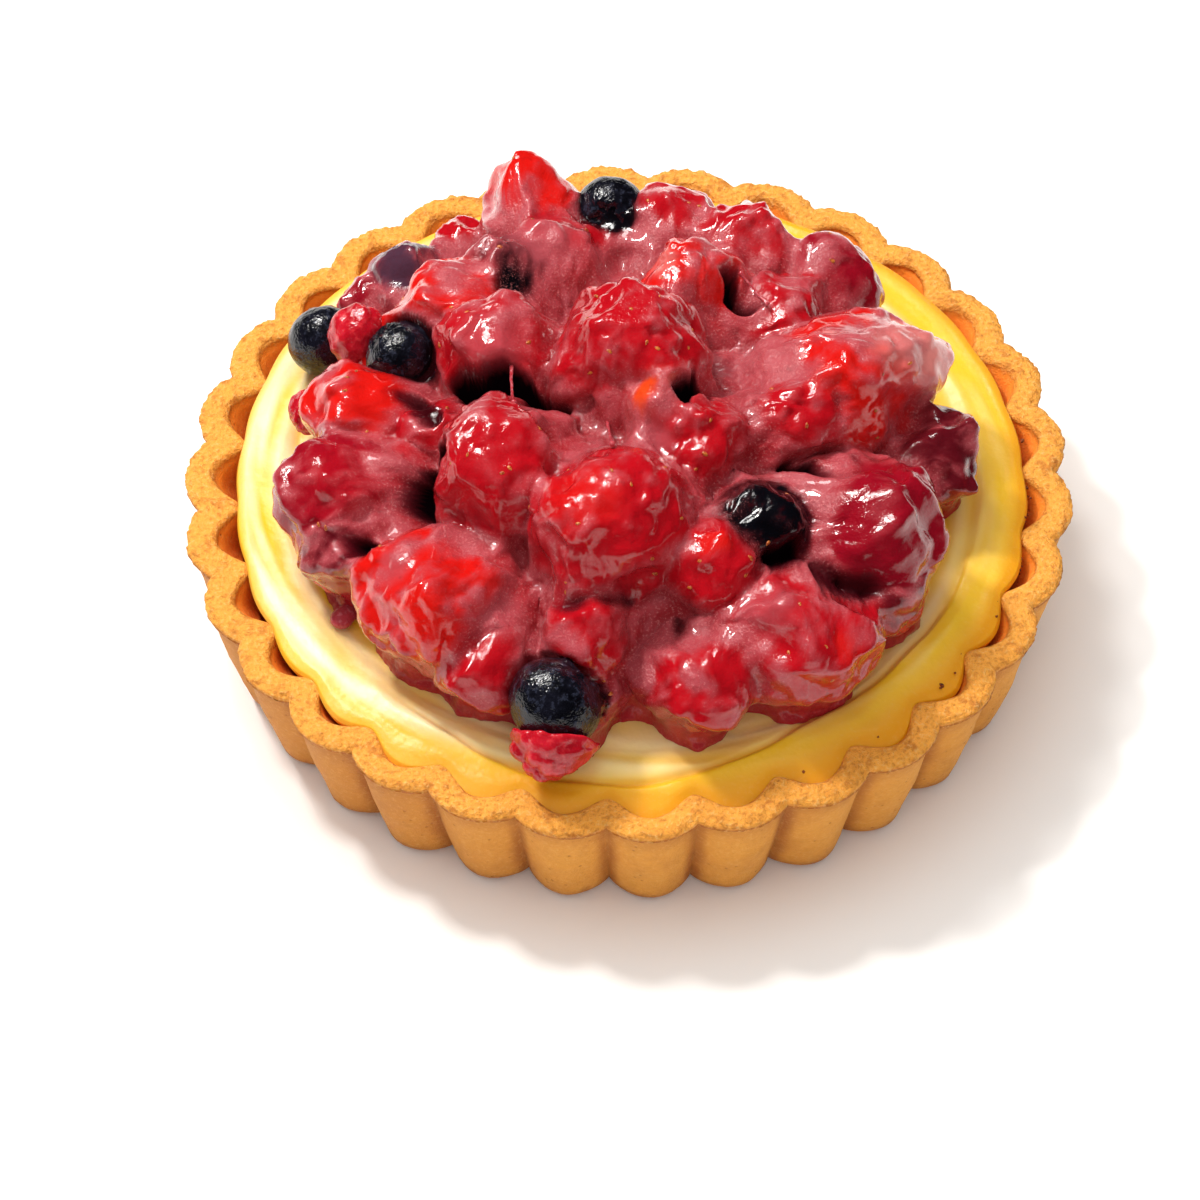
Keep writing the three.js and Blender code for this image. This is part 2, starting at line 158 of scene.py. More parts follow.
class Noise:
    """A smooth random field over space, made of random slopes at the corners of a cubic lattice."""

    SIDE = 32

    def __init__(self, seed: int) -> None:
        """Draws the slopes.

        Args:
            seed: Of the random draw.
        """
        slopes = np.random.default_rng(seed).normal(size=(self.SIDE, self.SIDE, self.SIDE, 3))
        self.slopes = unit(slopes)

    def layer(self, places: Array) -> Array:
        """One layer: at each place the eight corners' slopes times the way to them, blended by 6t^5-15t^4+10t^3.

        Args:
            places: Points in lattice units, n by 3.

        Returns:
            The field at each point, about -0.7 to 0.7.
        """
        cell = np.floor(places).astype(np.int64)
        part = places - cell
        fade = part**3 * (part * (part * 6.0 - 15.0) + 10.0)
        total = np.zeros(places.shape[:-1])
        for corner in product((0, 1), repeat=3):
            at = (cell + corner) % self.SIDE
            slope = self.slopes[at[..., 0], at[..., 1], at[..., 2]]
            weight = np.prod(np.where(np.array(corner) == 1, fade, 1.0 - fade), axis=-1)
            total += weight * np.sum(slope * (part - corner), axis=-1)
        return total

    def __call__(self, points: Array, scale: float | Triple, octaves: int = 1) -> Array:
        """Layers of the field, each half as high and half as wide as the one before.

        Args:
            points: Points in millimetres, n by 3.
            scale: Width of a lump in millimetres, or one width along each axis.
            octaves: How many layers.

        Returns:
            The sum at each point, about -1 to 1.
        """
        places = points / np.array(scale)
        return sum(1.4 * self.layer(places * 2.0**i + 9.7 * i) / 2.0**i for i in range(octaves))


def pebbles(points: Array, scale: float, seed: int) -> Array:
    """Round bumps packed at random: 1 less the distance to the nearest of one random point per lattice cell.

    Args:
        points: Points in millimetres, n by 3.
        scale: Width of a cell in millimetres.
        seed: Of the random points.

    Returns:
        Height at each point, 1 at the middle of a bump and about 0 between bumps.
    """
    side = 24
    spots = np.random.default_rng(seed).uniform(size=(side, side, side, 3))
    places = points / scale
    cell = np.floor(places).astype(np.int64)
    nearest = np.full(points.shape[:-1], 9.0)
    for corner in product((-1, 0, 1), repeat=3):
        at = (cell + corner) % side
        spot = cell + corner + spots[at[..., 0], at[..., 1], at[..., 2]]
        nearest = np.minimum(nearest, np.linalg.norm(places - spot, axis=-1))
    return np.clip(1.0 - nearest, 0.0, 1.0)


# ---- Meshes --------------------------------------------------------------------------------------


@dataclass
class Skin:
    """A closed surface: corners in millimetres, and faces that name them in order, outward."""

    corners: Array
    faces: list[list[int]]
    values: dict[str, Array] = field(default_factory=dict)

    def piece(self, name: str, material: bpy.types.Material) -> bpy.types.Object:
        """Makes the Blender object, in metres and at the origin.

        Args:
            name: Of the piece.
            material: Its finish.

        Returns:
            The object, smooth shaded, with each of the skin's values as a point attribute. A value of
            three columns becomes a colour.
        """
        mesh = bpy.data.meshes.new(name)
        mesh.from_pydata((self.corners * MM).tolist(), [], self.faces)
        mesh.polygons.foreach_set("use_smooth", np.ones(len(mesh.polygons), dtype=bool))
        for label, value in self.values.items():
            if np.ndim(value) == 2:
                layer = mesh.attributes.new(label, "FLOAT_COLOR", "POINT")
                shades = np.concatenate([value, np.ones((len(value), 1))], axis=1)
                layer.data.foreach_set("color", shades.astype(np.float32).ravel())
            else:
                layer = mesh.attributes.new(label, "FLOAT", "POINT")
                layer.data.foreach_set("value", np.asarray(value, dtype=np.float32).ravel())
        mesh.materials.append(material)
        mesh.update()
        made = bpy.data.objects.new(name, mesh)
        bpy.context.scene.collection.objects.link(made)
        return made


def ring_faces(rings: int, sides: int) -> list[list[int]]:
    """Faces of a skin over rings that go round anticlockwise, seen from the last ring's end, with two poles.

    Args:
        rings: Number of rings. Corner number ring * sides + side is on a ring.
        sides: Corners of each ring. The poles' corners come after the last ring's, first pole first.

    Returns:
        Quads between the rings, then triangles round both poles.
    """
    ring, side = np.meshgrid(np.arange(rings - 1), np.arange(sides), indexing="ij")
    here, onward = ring * sides + side, ring * sides + (side + 1) % sides
    quads = np.stack([here, onward, onward + sides, here + sides], axis=-1).reshape(-1, 4)
    turn = np.arange(sides)
    last = (rings - 1) * sides
    first_pole = np.full(sides, rings * sides)
    low = np.stack([first_pole, (turn + 1) % sides, turn], axis=-1)
    high = np.stack([first_pole + 1, last + turn, last + (turn + 1) % sides], axis=-1)
    return quads.tolist() + low.tolist() + high.tolist()


def ring_skin(rings: Array, first: Array, last: Array, values: dict[str, Array] | None = None) -> Skin:
    """A closed skin over rings of corners and a pole at each end.

    Args:
        rings: Corners, rings by sides by 3.
        first: The first pole.
        last: The last pole.
        values: A value for every ring corner under each name. A pole takes its ring's mean.

    Returns:
        The skin.
    """
    corners = np.concatenate([rings.reshape(-1, 3), [first], [last]])
    kept = {
        label: np.concatenate([value.reshape(-1, *value.shape[2:]), [value[0].mean(0)], [value[-1].mean(0)]])
        for label, value in (values or {}).items()
    }
    return Skin(corners, ring_faces(rings.shape[0], rings.shape[1]), kept)


def tube(path: Array, radii: Array, sides: int) -> Skin:
    """A closed tube round a path: each ring is a circle of its radius, square to the path.

    Args:
        path: Points along the middle, n by 3.
        radii: Radius at each point.
        sides: Of each ring.

    Returns:
        The tube's skin, with poles half a radius beyond its ends.
    """
    along = unit(np.gradient(path, axis=0))
    across = unit(np.cross(along, np.array([0.31, 0.95, 0.05])))
    other = np.cross(along, across)
    turn = np.linspace(0.0, 2.0 * np.pi, sides, endpoint=False)
    circle = across[:, None] * np.cos(turn)[None, :, None] + other[:, None] * np.sin(turn)[None, :, None]
    rings = path[:, None] + circle * radii[:, None, None]
    return ring_skin(rings, path[0] - along[0] * radii[0] * 0.5, path[-1] + along[-1] * radii[-1] * 0.5)


def joined(skins: list[Skin]) -> Skin:
    """Several skins as one, each with its own corners and faces.

    Args:
        skins: Skins that have no values.

    Returns:
        The one skin.
    """
    corners, faces, start = [], [], 0
    for skin in skins:
        corners.append(skin.corners)
        faces += [[corner + start for corner in face] for face in skin.faces]
        start += len(skin.corners)
    return Skin(np.concatenate(corners), faces)


# ---- Shader graphs -------------------------------------------------------------------------------


def paint(code: str) -> Colour:
    """A colour from its screen code, by the sRGB curve.

    Args:
        code: Six hexadecimal digits: two each of red, green and blue.

    Returns:
        Its light values, and 1.
    """
    shares = [int(code[i : i + 2], 16) / 255.0 for i in (0, 2, 4)]
    light = [s / 12.92 if s <= 0.04045 else ((s + 0.055) / 1.055) ** 2.4 for s in shares]
    return (light[0], light[1], light[2], 1.0)


def tinted(tint: Array, colour: Colour, share: Array) -> Array:
    """Tints, three light values for each point, moved towards a colour by each point's share."""
    return tint + (np.array(colour[:3]) - tint) * share[:, None]


class Wire:
    """A shader socket that takes part in sums, differences and products with numbers and other wires."""

    def __init__(self, graph: "Graph", socket: bpy.types.NodeSocket) -> None:
        """Wraps a socket.

        Args:
            graph: The graph that it belongs to.
            socket: The node's output.
        """
        self.graph = graph
        self.socket = socket

    def _maths(self, operation: str, first: "Wire | float", second: "Wire | float") -> "Wire":
        """Adds a Math node of an operation on two values."""
        return self.graph.add("ShaderNodeMath", {"operation": operation}, {0: first, 1: second})

    def __add__(self, other: "Wire | float") -> "Wire":
        """This value plus another."""
        return self._maths("ADD", self, other)

    __radd__ = __add__

    def __sub__(self, other: "Wire | float") -> "Wire":
        """This value less another."""
        return self._maths("SUBTRACT", self, other)

    def __rsub__(self, other: "Wire | float") -> "Wire":
        """A number less this value."""
        return self._maths("SUBTRACT", other, self)

    def __mul__(self, other: "Wire | float") -> "Wire":
        """This value times another."""
        return self._maths("MULTIPLY", self, other)

    __rmul__ = __mul__

    def step(self, low: float, high: float) -> "Wire":
        """A smooth step of this value. Low may be above high.

        Args:
            low: Where it is 0.
            high: Where it is 1.

        Returns:
            The step, 0 to 1.
        """
        return self.graph.add(
            "ShaderNodeMapRange",
            {"interpolation_type": "SMOOTHSTEP"},
            {"Value": self, "From Min": low, "From Max": high, "To Min": 0.0, "To Max": 1.0},
        )


class Graph:
    """The node graph of one material: it adds nodes and hands back their outputs as wires."""

    # Near black without gloss: painted shade in the deep hollows.
    UNLIT = paint("0a0306")

    def __init__(self, name: str) -> None:
        """Starts an empty material.

        Args:
            name: Of the material.
        """
        self.material = bpy.data.materials.new(name)
        self.material.use_nodes = True
        self.tree = self.material.node_tree
        self.tree.nodes.clear()

    def add(self, kind: str, settings: dict[str, object], sockets: dict, output: int | str = 0) -> Wire:
        """Adds a node.

        Args:
            kind: The node's type.
            settings: Its properties, set before its sockets.
            sockets: A number, colour or wire for each input, by name or place.
            output: Name or place of the output that is wanted.

        Returns:
            That output as a wire.
        """
        node = self.tree.nodes.new(kind)
        for label, value in settings.items():
            setattr(node, label, value)
        for label, value in sockets.items():
            if isinstance(value, Wire):
                self.tree.links.new(value.socket, node.inputs[label])
            else:
                node.inputs[label].default_value = value
        return Wire(self, node.outputs[output])

    def blend(self, share: Wire | float, low: Wire | Colour, high: Wire | Colour) -> Wire:
        """Mixes two colours: a share of 0 gives low, 1 gives high."""
        settings = {"data_type": "RGBA", "blend_type": "MIX", "clamp_factor": True}
        return self.add("ShaderNodeMix", settings, {0: share, 6: low, 7: high}, 2)

    def value(self, label: str, output: str = "Fac") -> Wire:
        """A point attribute of the piece's mesh, as a number or, by the output Color, as a colour."""
        return self.add("ShaderNodeAttribute", {"attribute_name": label}, {}, output)

    def place(self) -> Wire:
        """Object coordinates in millimetres."""
        where = self.add("ShaderNodeTexCoord", {}, {}, "Object")
        return self.add("ShaderNodeMapping", {}, {"Vector": where, "Scale": (1.0 / MM, 1.0 / MM, 1.0 / MM)})

    def noise(self, width: float, detail: float = 2.0, rough: float = 0.5, offset: float = 0.0) -> Wire:
        """Noise about 0.5, with lumps of a width in millimetres.

        Args:
            width: Of a lump.
            detail: Number of finer layers.
            rough: How strong each finer layer is.
            offset: A shift that makes fields differ.

        Returns:
            The field.
        """
        at = self.place()
        if offset:
            at = self.add("ShaderNodeVectorMath", {"operation": "ADD"}, {0: at, 1: (offset, offset, offset)})
        sockets = {"Vector": at, "Scale": 1.0 / width, "Detail": detail, "Roughness": rough}
        return self.add("ShaderNodeTexNoise", {}, sockets, "Fac")

    def cells(self, width: float) -> Wire:
        """Distance from the nearest of random points about a width in millimetres apart, in widths."""
        return self.add("ShaderNodeTexVoronoi", {}, {"Vector": self.place(), "Scale": 1.0 / width}, "Distance")

    def bump(self, relief: Wire) -> Wire:
        """The normal of a surface with a relief, in millimetres."""
        return self.add("ShaderNodeBump", {}, {"Height": relief, "Distance": MM, "Strength": 1.0}, "Normal")

    def finish(self, sockets: dict, unlit: Wire | None = None) -> bpy.types.Material:
        """Ends the graph in one Principled shader.

        Args:
            sockets: Values and wires of the shader.
            unlit: Where it gives way to a nearly black surface without gloss, which is painted shade.

        Returns:
            The material.
        """
        surface = self.add("ShaderNodeBsdfPrincipled", {}, sockets)
        if unlit is not None:
            black = self.add("ShaderNodeBsdfDiffuse", {}, {"Color": self.UNLIT, "Roughness": 1.0})
            surface = self.add("ShaderNodeMixShader", {}, {0: unlit, 1: surface, 2: black})
        out = self.tree.nodes.new("ShaderNodeOutputMaterial")
        self.tree.links.new(surface.socket, out.inputs["Surface"])
        return self.material


# ---- Finishes ------------------------------------------------------------------------------------


@dataclass(frozen=True)
class CrustFinish:
    """Baked shortcrust: golden walls, a coarse toasted lip and orange hollows."""

    sandy: Colour = paint("f4c274")
    toasted: Colour = paint("a4561a")
    crumb_width: float = 0.6
    grain_width: float = 0.24
    pore_apart: float = 1.3
    pore_patch: float = 3.0

    def make(self) -> bpy.types.Material:
        """Makes the material: the tint with pale and toasted specks, most on the lip, and pores in painted shade.

        Returns:
            The material.
        """
        graph = Graph("crust")
        lip = graph.value("lip")
        fine = graph.noise(self.crumb_width, 3.0, 0.65)
        grain = graph.noise(self.grain_width, 2.0, 0.7)
        patches = graph.noise(self.pore_patch, 1.0, offset=31.0).step(0.5, 0.6)
        pores = graph.cells(self.pore_apart).step(0.2, 0.08) * patches
        colour = graph.blend(fine.step(0.5, 0.72) * (lip * 0.4 + 0.2), graph.value("tint", "Color"), self.sandy)
        colour = graph.blend(fine.step(0.5, 0.28) * (lip * 0.34 + 0.14), colour, self.toasted)
        colour = graph.blend(grain.step(0.6, 0.8) * (lip * 0.12 + 0.1), colour, self.toasted)
        # painted shade: the pores take the toasted colour, for the shade that falls in them
        colour = graph.blend(pores * (0.5 - 0.4 * lip), colour, self.toasted)
        relief = grain * 0.13 + fine * (lip * 0.44 + 0.12) - pores * (0.14 - 0.1 * lip)
        return graph.finish({
            "Base Color": colour, "Roughness": 0.68, "Normal": graph.bump(relief),
            "Specular IOR Level": 0.35, "Subsurface Weight": 0.12,
            "Subsurface Radius": (1.0, 0.5, 0.2), "Subsurface Scale": 0.8 * MM,
        })


@dataclass(frozen=True)
class CustardFinish:
    """Smooth yellow custard with creamy streaks and a soft sheen."""

    pale: Colour = paint("fbe0a0")
    fine_width: float = 0.5
    lump_width: float = 2.2

    def make(self) -> bpy.types.Material:
        """Makes the material: the tint with faint pale specks, over soft lumps.

        Returns:
            The material.
        """
        graph = Graph("custard")
        fine = graph.noise(self.fine_width, 3.0, 0.65)
        colour = graph.blend(fine.step(0.5, 0.8) * 0.1, graph.value("tint", "Color"), self.pale)
        relief = fine * 0.02 + graph.noise(self.lump_width, 2.0) * 0.16
        return graph.finish({
            "Base Color": colour, "Roughness": 0.38, "Normal": graph.bump(relief),
            "Specular IOR Level": 0.45, "Subsurface Weight": 0.4,
            "Subsurface Radius": (1.0, 0.75, 0.3), "Subsurface Scale": 1.4 * MM,
        })


@dataclass(frozen=True)
class SpeckFinish:
    """Small dry pieces of one colour, mottled with another: seeds or crumbs."""

    name: str
    main: Colour
    mottle: Colour
    rough: float
    spot_width: float = 0.35

    def make(self) -> bpy.types.Material:
        """Makes the material: spots of the mottling colour on the main one.

        Returns:
            The material.
        """
        graph = Graph(self.name)
        spots = graph.noise(self.spot_width, 2.0, 0.6)
        colour = graph.blend(spots.step(0.4, 0.62), self.main, self.mottle)
        return graph.finish({"Base Color": colour, "Roughness": self.rough, "Normal": graph.bump(spots * 0.06)})


@dataclass(frozen=True)
class GlazeFinish:
    """Thick cloudy sauce under a wet coat: grainy where it is thick and smooth where it lies thin."""

    fleck: Colour = paint("d47c7c")
    deep: Colour = paint("560a12")
    grain: float = 0.13
    ripple: float = 0.1
    dimple: float = 0.09
    ripple_width: float = 1.7
    dimple_width: float = 0.75
    grain_width: float = 0.34

    def make(self) -> bpy.types.Material:
        """Makes the material: the tint with pale flecks where thick, and deep patches, under a coat, with painted
        shade in hollows.

        Returns:
            The material.
        """
        graph = Graph("glaze")
        veil = graph.value("veil")
        broad = graph.noise(self.ripple_width, 3.0, 0.6)
        small = graph.noise(self.dimple_width, 2.0, 0.6)
        grain = graph.noise(self.grain_width, 3.0, 0.7)
        # Pale flecks where the sauce is thick: tiny bubbles, with painted glints.
        colour = graph.blend(grain.step(0.52, 0.68) * veil * 0.5, graph.value("tint", "Color"), self.fleck)
        colour = graph.blend(broad.step(0.55, 0.78) * 0.3, colour, self.deep)
        relief = grain * (veil * 0.92 + 0.08) * self.grain + broad * self.ripple + small * self.dimple
        return graph.finish({
            "Base Color": colour, "Roughness": graph.value("rough"), "Normal": graph.bump(relief),
            "Specular IOR Level": 0.35, "Subsurface Weight": 0.12,
            "Coat Weight": 1.0, "Coat Roughness": 0.03, "Coat IOR": 1.33,
            "Subsurface Radius": (1.0, 0.2, 0.18), "Subsurface Scale": 0.8 * MM,
        # pit_shade: painted shade, near black in the hollows
        }, graph.value("pit_shade"))


@dataclass(frozen=True)
class FruitFinish:
    """Wet fruit skin: one colour, mottled with two others, glossy."""

    name: str
    main: Colour
    mottle: Colour
    bright: Colour
    rough: float
    soft: float
    gloss: float = 0.6
    patch_width: float = 3.2
    spot_width: float = 0.8
    pore_width: float = 0.3

    def make(self) -> bpy.types.Material:
        """Makes the material: broad patches of the mottling colour, then small bright spots.

        Returns:
            The material.
        """
        graph = Graph(self.name)
        broad = graph.noise(self.patch_width, 3.0)
        small = graph.noise(self.spot_width, 2.0, 0.6)
        relief = small * 0.16 + graph.noise(self.pore_width, 2.0) * 0.05
        colour = graph.blend(broad.step(0.4, 0.66) * 0.8, self.main, self.mottle)
        colour = graph.blend(small.step(0.5, 0.72) * 0.5, colour, self.bright)
        return graph.finish({
            "Base Color": colour, "Roughness": small * 0.12 + self.rough, "Normal": graph.bump(relief),
            "Specular IOR Level": self.gloss, "Subsurface Weight": self.soft,
            "Subsurface Radius": (1.0, 0.2, 0.15), "Subsurface Scale": 1.2 * MM,
        })


# ---- Berries -------------------------------------------------------------------------------------


class Tone(Enum):
    """Colours that fruit gives to the glaze that lies thin over it, and that patches of it take."""

    SCARLET = paint("c8140f")
    CRIMSON = paint("ac0c18")
    RUBY = paint("8a0a1c")
    # Dark red: a berry's dark tone, and painted shade in crevices, low in the heap, in hollows and patches.
    MAROON = paint("560c16")
    ROSE = paint("b6424a")
    BLUSH = paint("d8807a")
    ORANGE = paint("dc4414")
    INK = paint("08070c")
    DUSK = paint("4a2c3c")
    # Pale pink: cloudy sauce, and painted sheen where it faces the light.
    HAZE_AND_SHEEN = paint("ac4a52")
    SAUCE = paint("a2242c")
    SYRUP = paint("a40c16")


@dataclass(frozen=True)
class Form:
    """The rounded form that a kind of berry has before its own detail."""

    axes: Triple
    boxy: float
    taper: float = 0.0
    dimple: float = 0.0

    def reach(self, size: float, way: Array) -> Array:
        """Distance from centre to skin: size over the boxy-norm of way / axes, narrowed and dimpled at the tip.

        Args:
            size: Of the berry.
            way: Unit directions in the berry's own frame.

        Returns:
            The distance along each direction.
        """
        spread = np.sum(np.abs(way / np.array(self.axes)) ** self.boxy, axis=-1)
        tipped = np.maximum(0.0, way[..., 2] - 0.85) / 0.15
        return size * spread ** (-1.0 / self.boxy) * (1.0 - self.taper * way[..., 2]) * (1.0 - self.dimple * tipped)


class Kind(Enum):
    """Kinds of fruit: the name's beginning, the form, and the material slot."""

    BLUEBERRY = ("blueberry", Form((1.0, 1.0, 0.9), 2.0, 0.0, 0.1), "blueberry")
    RASPBERRY = ("raspberry", Form((0.96, 0.92, 1.08), 2.2, 0.12), "raspberry")
    STRAWBERRY = ("strawberry", Form((1.0, 0.94, 1.12), 2.2, 0.2), "strawberry")
    TIP = ("strawberry_tip", Form((0.95, 0.85, 1.25), 1.9, 0.3), "strawberry")
    PIECE = ("strawberry_piece", Form((1.12, 0.92, 0.86), 3.0, 0.08), "strawberry")

    @property
    def form(self) -> Form:
        """The kind's form."""
        return self.value[1]

    @property
    def slot(self) -> str:
        """The kind's material slot."""
        return self.value[2]


# Sizes of the fruit's own detail. Those of crowns and drupelets are in sizes of the berry.
CROWN_ANGLE = 0.44  # Radians from a blueberry's tip to the ring of its crown.
CROWN_SWING = 0.07  # How far the ring's five points swing from that.
CROWN_WIDTH = 0.07
CROWN_HEIGHT = 0.07
DRUPELET = 0.24  # Radius.
CUT_FACES = 7
CUT_SHARE = 0.8  # A cut face's distance from the centre, in reaches.
CUT_ROUNDING = 0.28
PIT_DEPTH = 0.22
PIT_WIDTH = 0.55


def even_directions(count: int) -> Array:
    """Directions spread evenly on a sphere: heights in equal steps, each a golden angle further round.

    Args:
        count: How many.

    Returns:
        Unit directions, count by 3.
    """
    turn = np.arange(count) * math.pi * (3.0 - math.sqrt(5.0))
    height = 1.0 - (2.0 * np.arange(count) + 1.0) / count
    return round_axis(np.sqrt(1.0 - height**2), turn, height)


@dataclass
class Berry:
    """One berry or piece of fruit: where it lies, its form, and how thickly the glaze covers it.

    Lift is how far its centre stands above the heap's level. Turn and lean, in degrees, say where its
    tip points: lean from straight up, and turn round the upright axis. Film is the glaze's thickness
    over it, under 0 where it stands out of the glaze. Tone is what it gives to the glaze above it. A
    pressed one is cut to shape by its neighbours.
    """

    kind: Kind
    place: str
    x: float
    y: float
    size: float
    lift: float
    turn: float
    lean: float
    film: float
    tone: Tone
    pressed: bool = False
    centre: Array = field(init=False)
    heart: Array = field(init=False)
    reaches: Array = field(init=False)

    def __post_init__(self) -> None:
        """Sets the turn and lean, and the grid of directions."""
        a, b = math.radians(self.turn), math.radians(self.lean)
        about_z = np.array([[math.cos(a), -math.sin(a), 0], [math.sin(a), math.cos(a), 0], [0, 0, 1.0]])
        about_y = np.array([[math.cos(b), 0, math.sin(b)], [0, 1.0, 0], [-math.sin(b), 0, math.cos(b)]])
        self.spin = about_z @ about_y
        self.sides = 128 if self.size > 7.5 else (96 if self.size > 5.0 else 72)
        self.rows = self.sides * 9 // 16
        self.ways = self._directions(self.rows, self.sides)
        self.seed = sum(ord(letter) * (i + 7) for i, letter in enumerate(self.name))

    @property
    def name(self) -> str:
        """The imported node's name."""
        return f"{self.kind.value[0]}_{self.place}"

    @property
    def bareness(self) -> float:
        """How far the film falls short of one that covers the berry, 0 where it does."""
        return -min(0.0, self.film - COVERING_FILM)

    def near(self, points: Array, sizes: float, spare: float) -> Array:
        """Numbers of the points within so many sizes and a spare distance of the centre."""
        return np.nonzero(np.linalg.norm(points - self.centre, axis=-1) < sizes * self.size + spare)[0]

    @staticmethod
    def _directions(rows: int, sides: int) -> Array:
        """Unit directions on rows from pole to pole.

        Args:
            rows: Steps from pole to pole.
            sides: Steps round.

        Returns:
            The directions, rows + 1 by sides by 3.
        """
        polar = np.pi * (np.arange(rows + 1) / rows - 0.5)[:, None]
        return round_axis(np.cos(polar), 2.0 * np.pi * np.arange(sides) / sides, np.sin(polar))

    def settle(self) -> None:
        """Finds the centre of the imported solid.

        A firm berry's is its box's, less the middle of its own coarse form. A pressed one, which its
        neighbours cut, lies at the heap's level, above the custard and inside the shell.
        """
        low, high = (np.array(corner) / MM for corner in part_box(self.name))
        sides, rows = (10 if self.size > 6.2 else 8), (6 if self.size > 4 else 5)
        coarse = self._directions(rows, sides)
        shape = (coarse * self.kind.form.reach(self.size, coarse)[..., None]).reshape(-1, 3) @ self.spin.T
        self.centre = (low + high) / 2.0 - (shape.min(0) + shape.max(0)) / 2.0
        self.heart = self.centre
        if self.pressed:
            below = self.kind.form.reach(self.size, -UP @ self.spin)
            from_axis = math.hypot(self.x, self.y)
            level = heap_level(self.x, self.y) + self.lift
            lowest = custard_top(np.array(max(0.0, from_axis - 0.5 * self.size))) + below + GAP + 0.2
            drawn_in = min(1.0, (BERRY_LIMIT - 0.75 * self.size) / from_axis)
            self.centre = np.array([self.x * drawn_in, self.y * drawn_in, max(level, float(lowest))])

    def above(self, points: Array) -> Array:
        """How far points lie outside the berry's plain form.

        Args:
            points: n by 3.

        Returns:
            Each point's distance from the centre less the form's reach that way.
        """
        own = (points - self.centre) @ self.spin
        away = np.linalg.norm(own, axis=-1)
        return away - self.kind.form.reach(self.size, own / np.maximum(away, 1e-6)[..., None])

    def deepest(self, near: list["Berry"]) -> Array:
        """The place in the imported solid's box that lies furthest inside the form and outside its neighbours.

        Args:
            near: The neighbours.

        Returns:
            The best of 15 by 15 by 15 places.
        """
        low, high = (np.array(corner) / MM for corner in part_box(self.name))
        spots = np.stack(np.meshgrid(*np.linspace(low, high, 15).T, indexing="ij"), axis=-1).reshape(-1, 3)
        depth = np.min([-self.above(spots)] + [other.above(spots) for other in near], axis=0)
        return spots[np.argmax(depth)]

    def shape(self, neighbours: list["Berry"]) -> None:
        """Works out the distance from heart to skin for every direction of the grid.

        It is the form's reach plus the kind's relief. A pressed berry's is the way from its heart to
        the first place that is outside its form or inside a neighbour's, found by halving.

        Args:
            neighbours: The berries that press on it.
        """
        if not self.pressed:
            self.reaches = self.kind.form.reach(self.size, self.ways) + self.relief(self.ways)
            return
        near = [b for b in neighbours if np.linalg.norm(b.centre - self.centre) < 1.4 * (b.size + self.size)]
        ways = (self.ways @ self.spin.T).reshape(-1, 3)
        self.heart = self.deepest(near)

        def free(along: Array) -> Array:
            """Tells which places are free.

            Args:
                along: Distance along each way.

            Returns:
                Whether each place lies inside the form and outside every neighbour.
            """
            points = self.heart + ways * along[:, None]
            inside = self.above(points) < 0.0
            for other in near:
                inside &= other.above(points) >= GAP
            return inside

        steps = np.linspace(0.0, 1.6 * self.size, 33)
        low = np.zeros(len(ways))
        open_way = np.ones(len(ways), dtype=bool)
        for here in steps[1:]:
            open_way &= free(np.full(len(ways), here))
            low = np.where(open_way, here, low)
        high = low + steps[1]
        for _ in range(7):
            middle = (low + high) / 2.0
            inside = free(middle)
            low, high = np.where(inside, middle, low), np.where(inside, high, middle)
        points = self.heart + ways * low[:, None]
        own = unit((points - self.centre) @ self.spin)
        skin = smooth_step(np.linalg.norm(points - self.centre, axis=-1) - self.kind.form.reach(self.size, own),
                           -0.8, -0.1)
        rough = low + self.relief(own) * skin
        self.reaches = self._softened(np.maximum(rough, 0.4).reshape(self.ways.shape[:2]))

    @staticmethod
    def _softened(reaches: Array) -> Array:
        """Rounds the edges of cuts: each reach takes a mean with its neighbours round and along, three times.

        Args:
            reaches: On the grid of directions, rows by sides.

        Returns:
            The reaches, with one value at each pole.
        """
        for _ in range(3):
            across = (np.roll(reaches, 1, 1) + np.roll(reaches, -1, 1) + 2.0 * reaches) / 4.0
            inner = (across[:-2] + across[2:] + 2.0 * across[1:-1]) / 4.0
            low, high = (np.tile(row.mean(), (1, row.size)) for row in (across[0], across[-1]))
            reaches = np.concatenate([low, inner, high])
        return reaches

    def relief(self, way: Array) -> Array:
        """The kind's own detail: its crown, drupelets, cuts or pits, and unevenness from a random field.

        Args:
            way: Directions in the berry's frame.

        Returns:
            Its height over the form.
        """
        noise = Noise(self.seed % 997)
        at = way * self.size
        if self.kind is Kind.BLUEBERRY:
            return self._crown(way) + 0.10 * noise(at, 1.3, 2) + 0.1 * noise(at, 3.5)
        if self.kind is Kind.RASPBERRY:
            return self._drupelets(way) + 0.1 * noise(at, 1.0) + 0.8 * noise(at, 5.5, 2)
        if self.kind is Kind.PIECE:
            return self._cuts(way) + 0.9 * noise(at, 4.8, 2) + 0.06 * noise(at, 0.7)
        return self._pits(way) + 1.1 * noise(at, 6.5, 2)

    def _crown(self, way: Array) -> Array:
        """A blueberry's crown: a five-pointed ring of flaps round a sunken cup at the tip.

        Args:
            way: Directions in the berry's frame.

        Returns:
            Height: a narrow hump at an angle from the tip that swings five times, less a bowl inside it.
        """
        off = np.arccos(np.clip(way[..., 2], -1, 1))
        around = np.arctan2(way[..., 1], way[..., 0])
        edge = CROWN_ANGLE + CROWN_SWING * np.cos(5.0 * around)
        ring, bowl = hump(off, edge, CROWN_WIDTH), smooth_step(edge - off, 0.0, 0.16)
        return self.size * (CROWN_HEIGHT * ring - CROWN_HEIGHT * bowl)

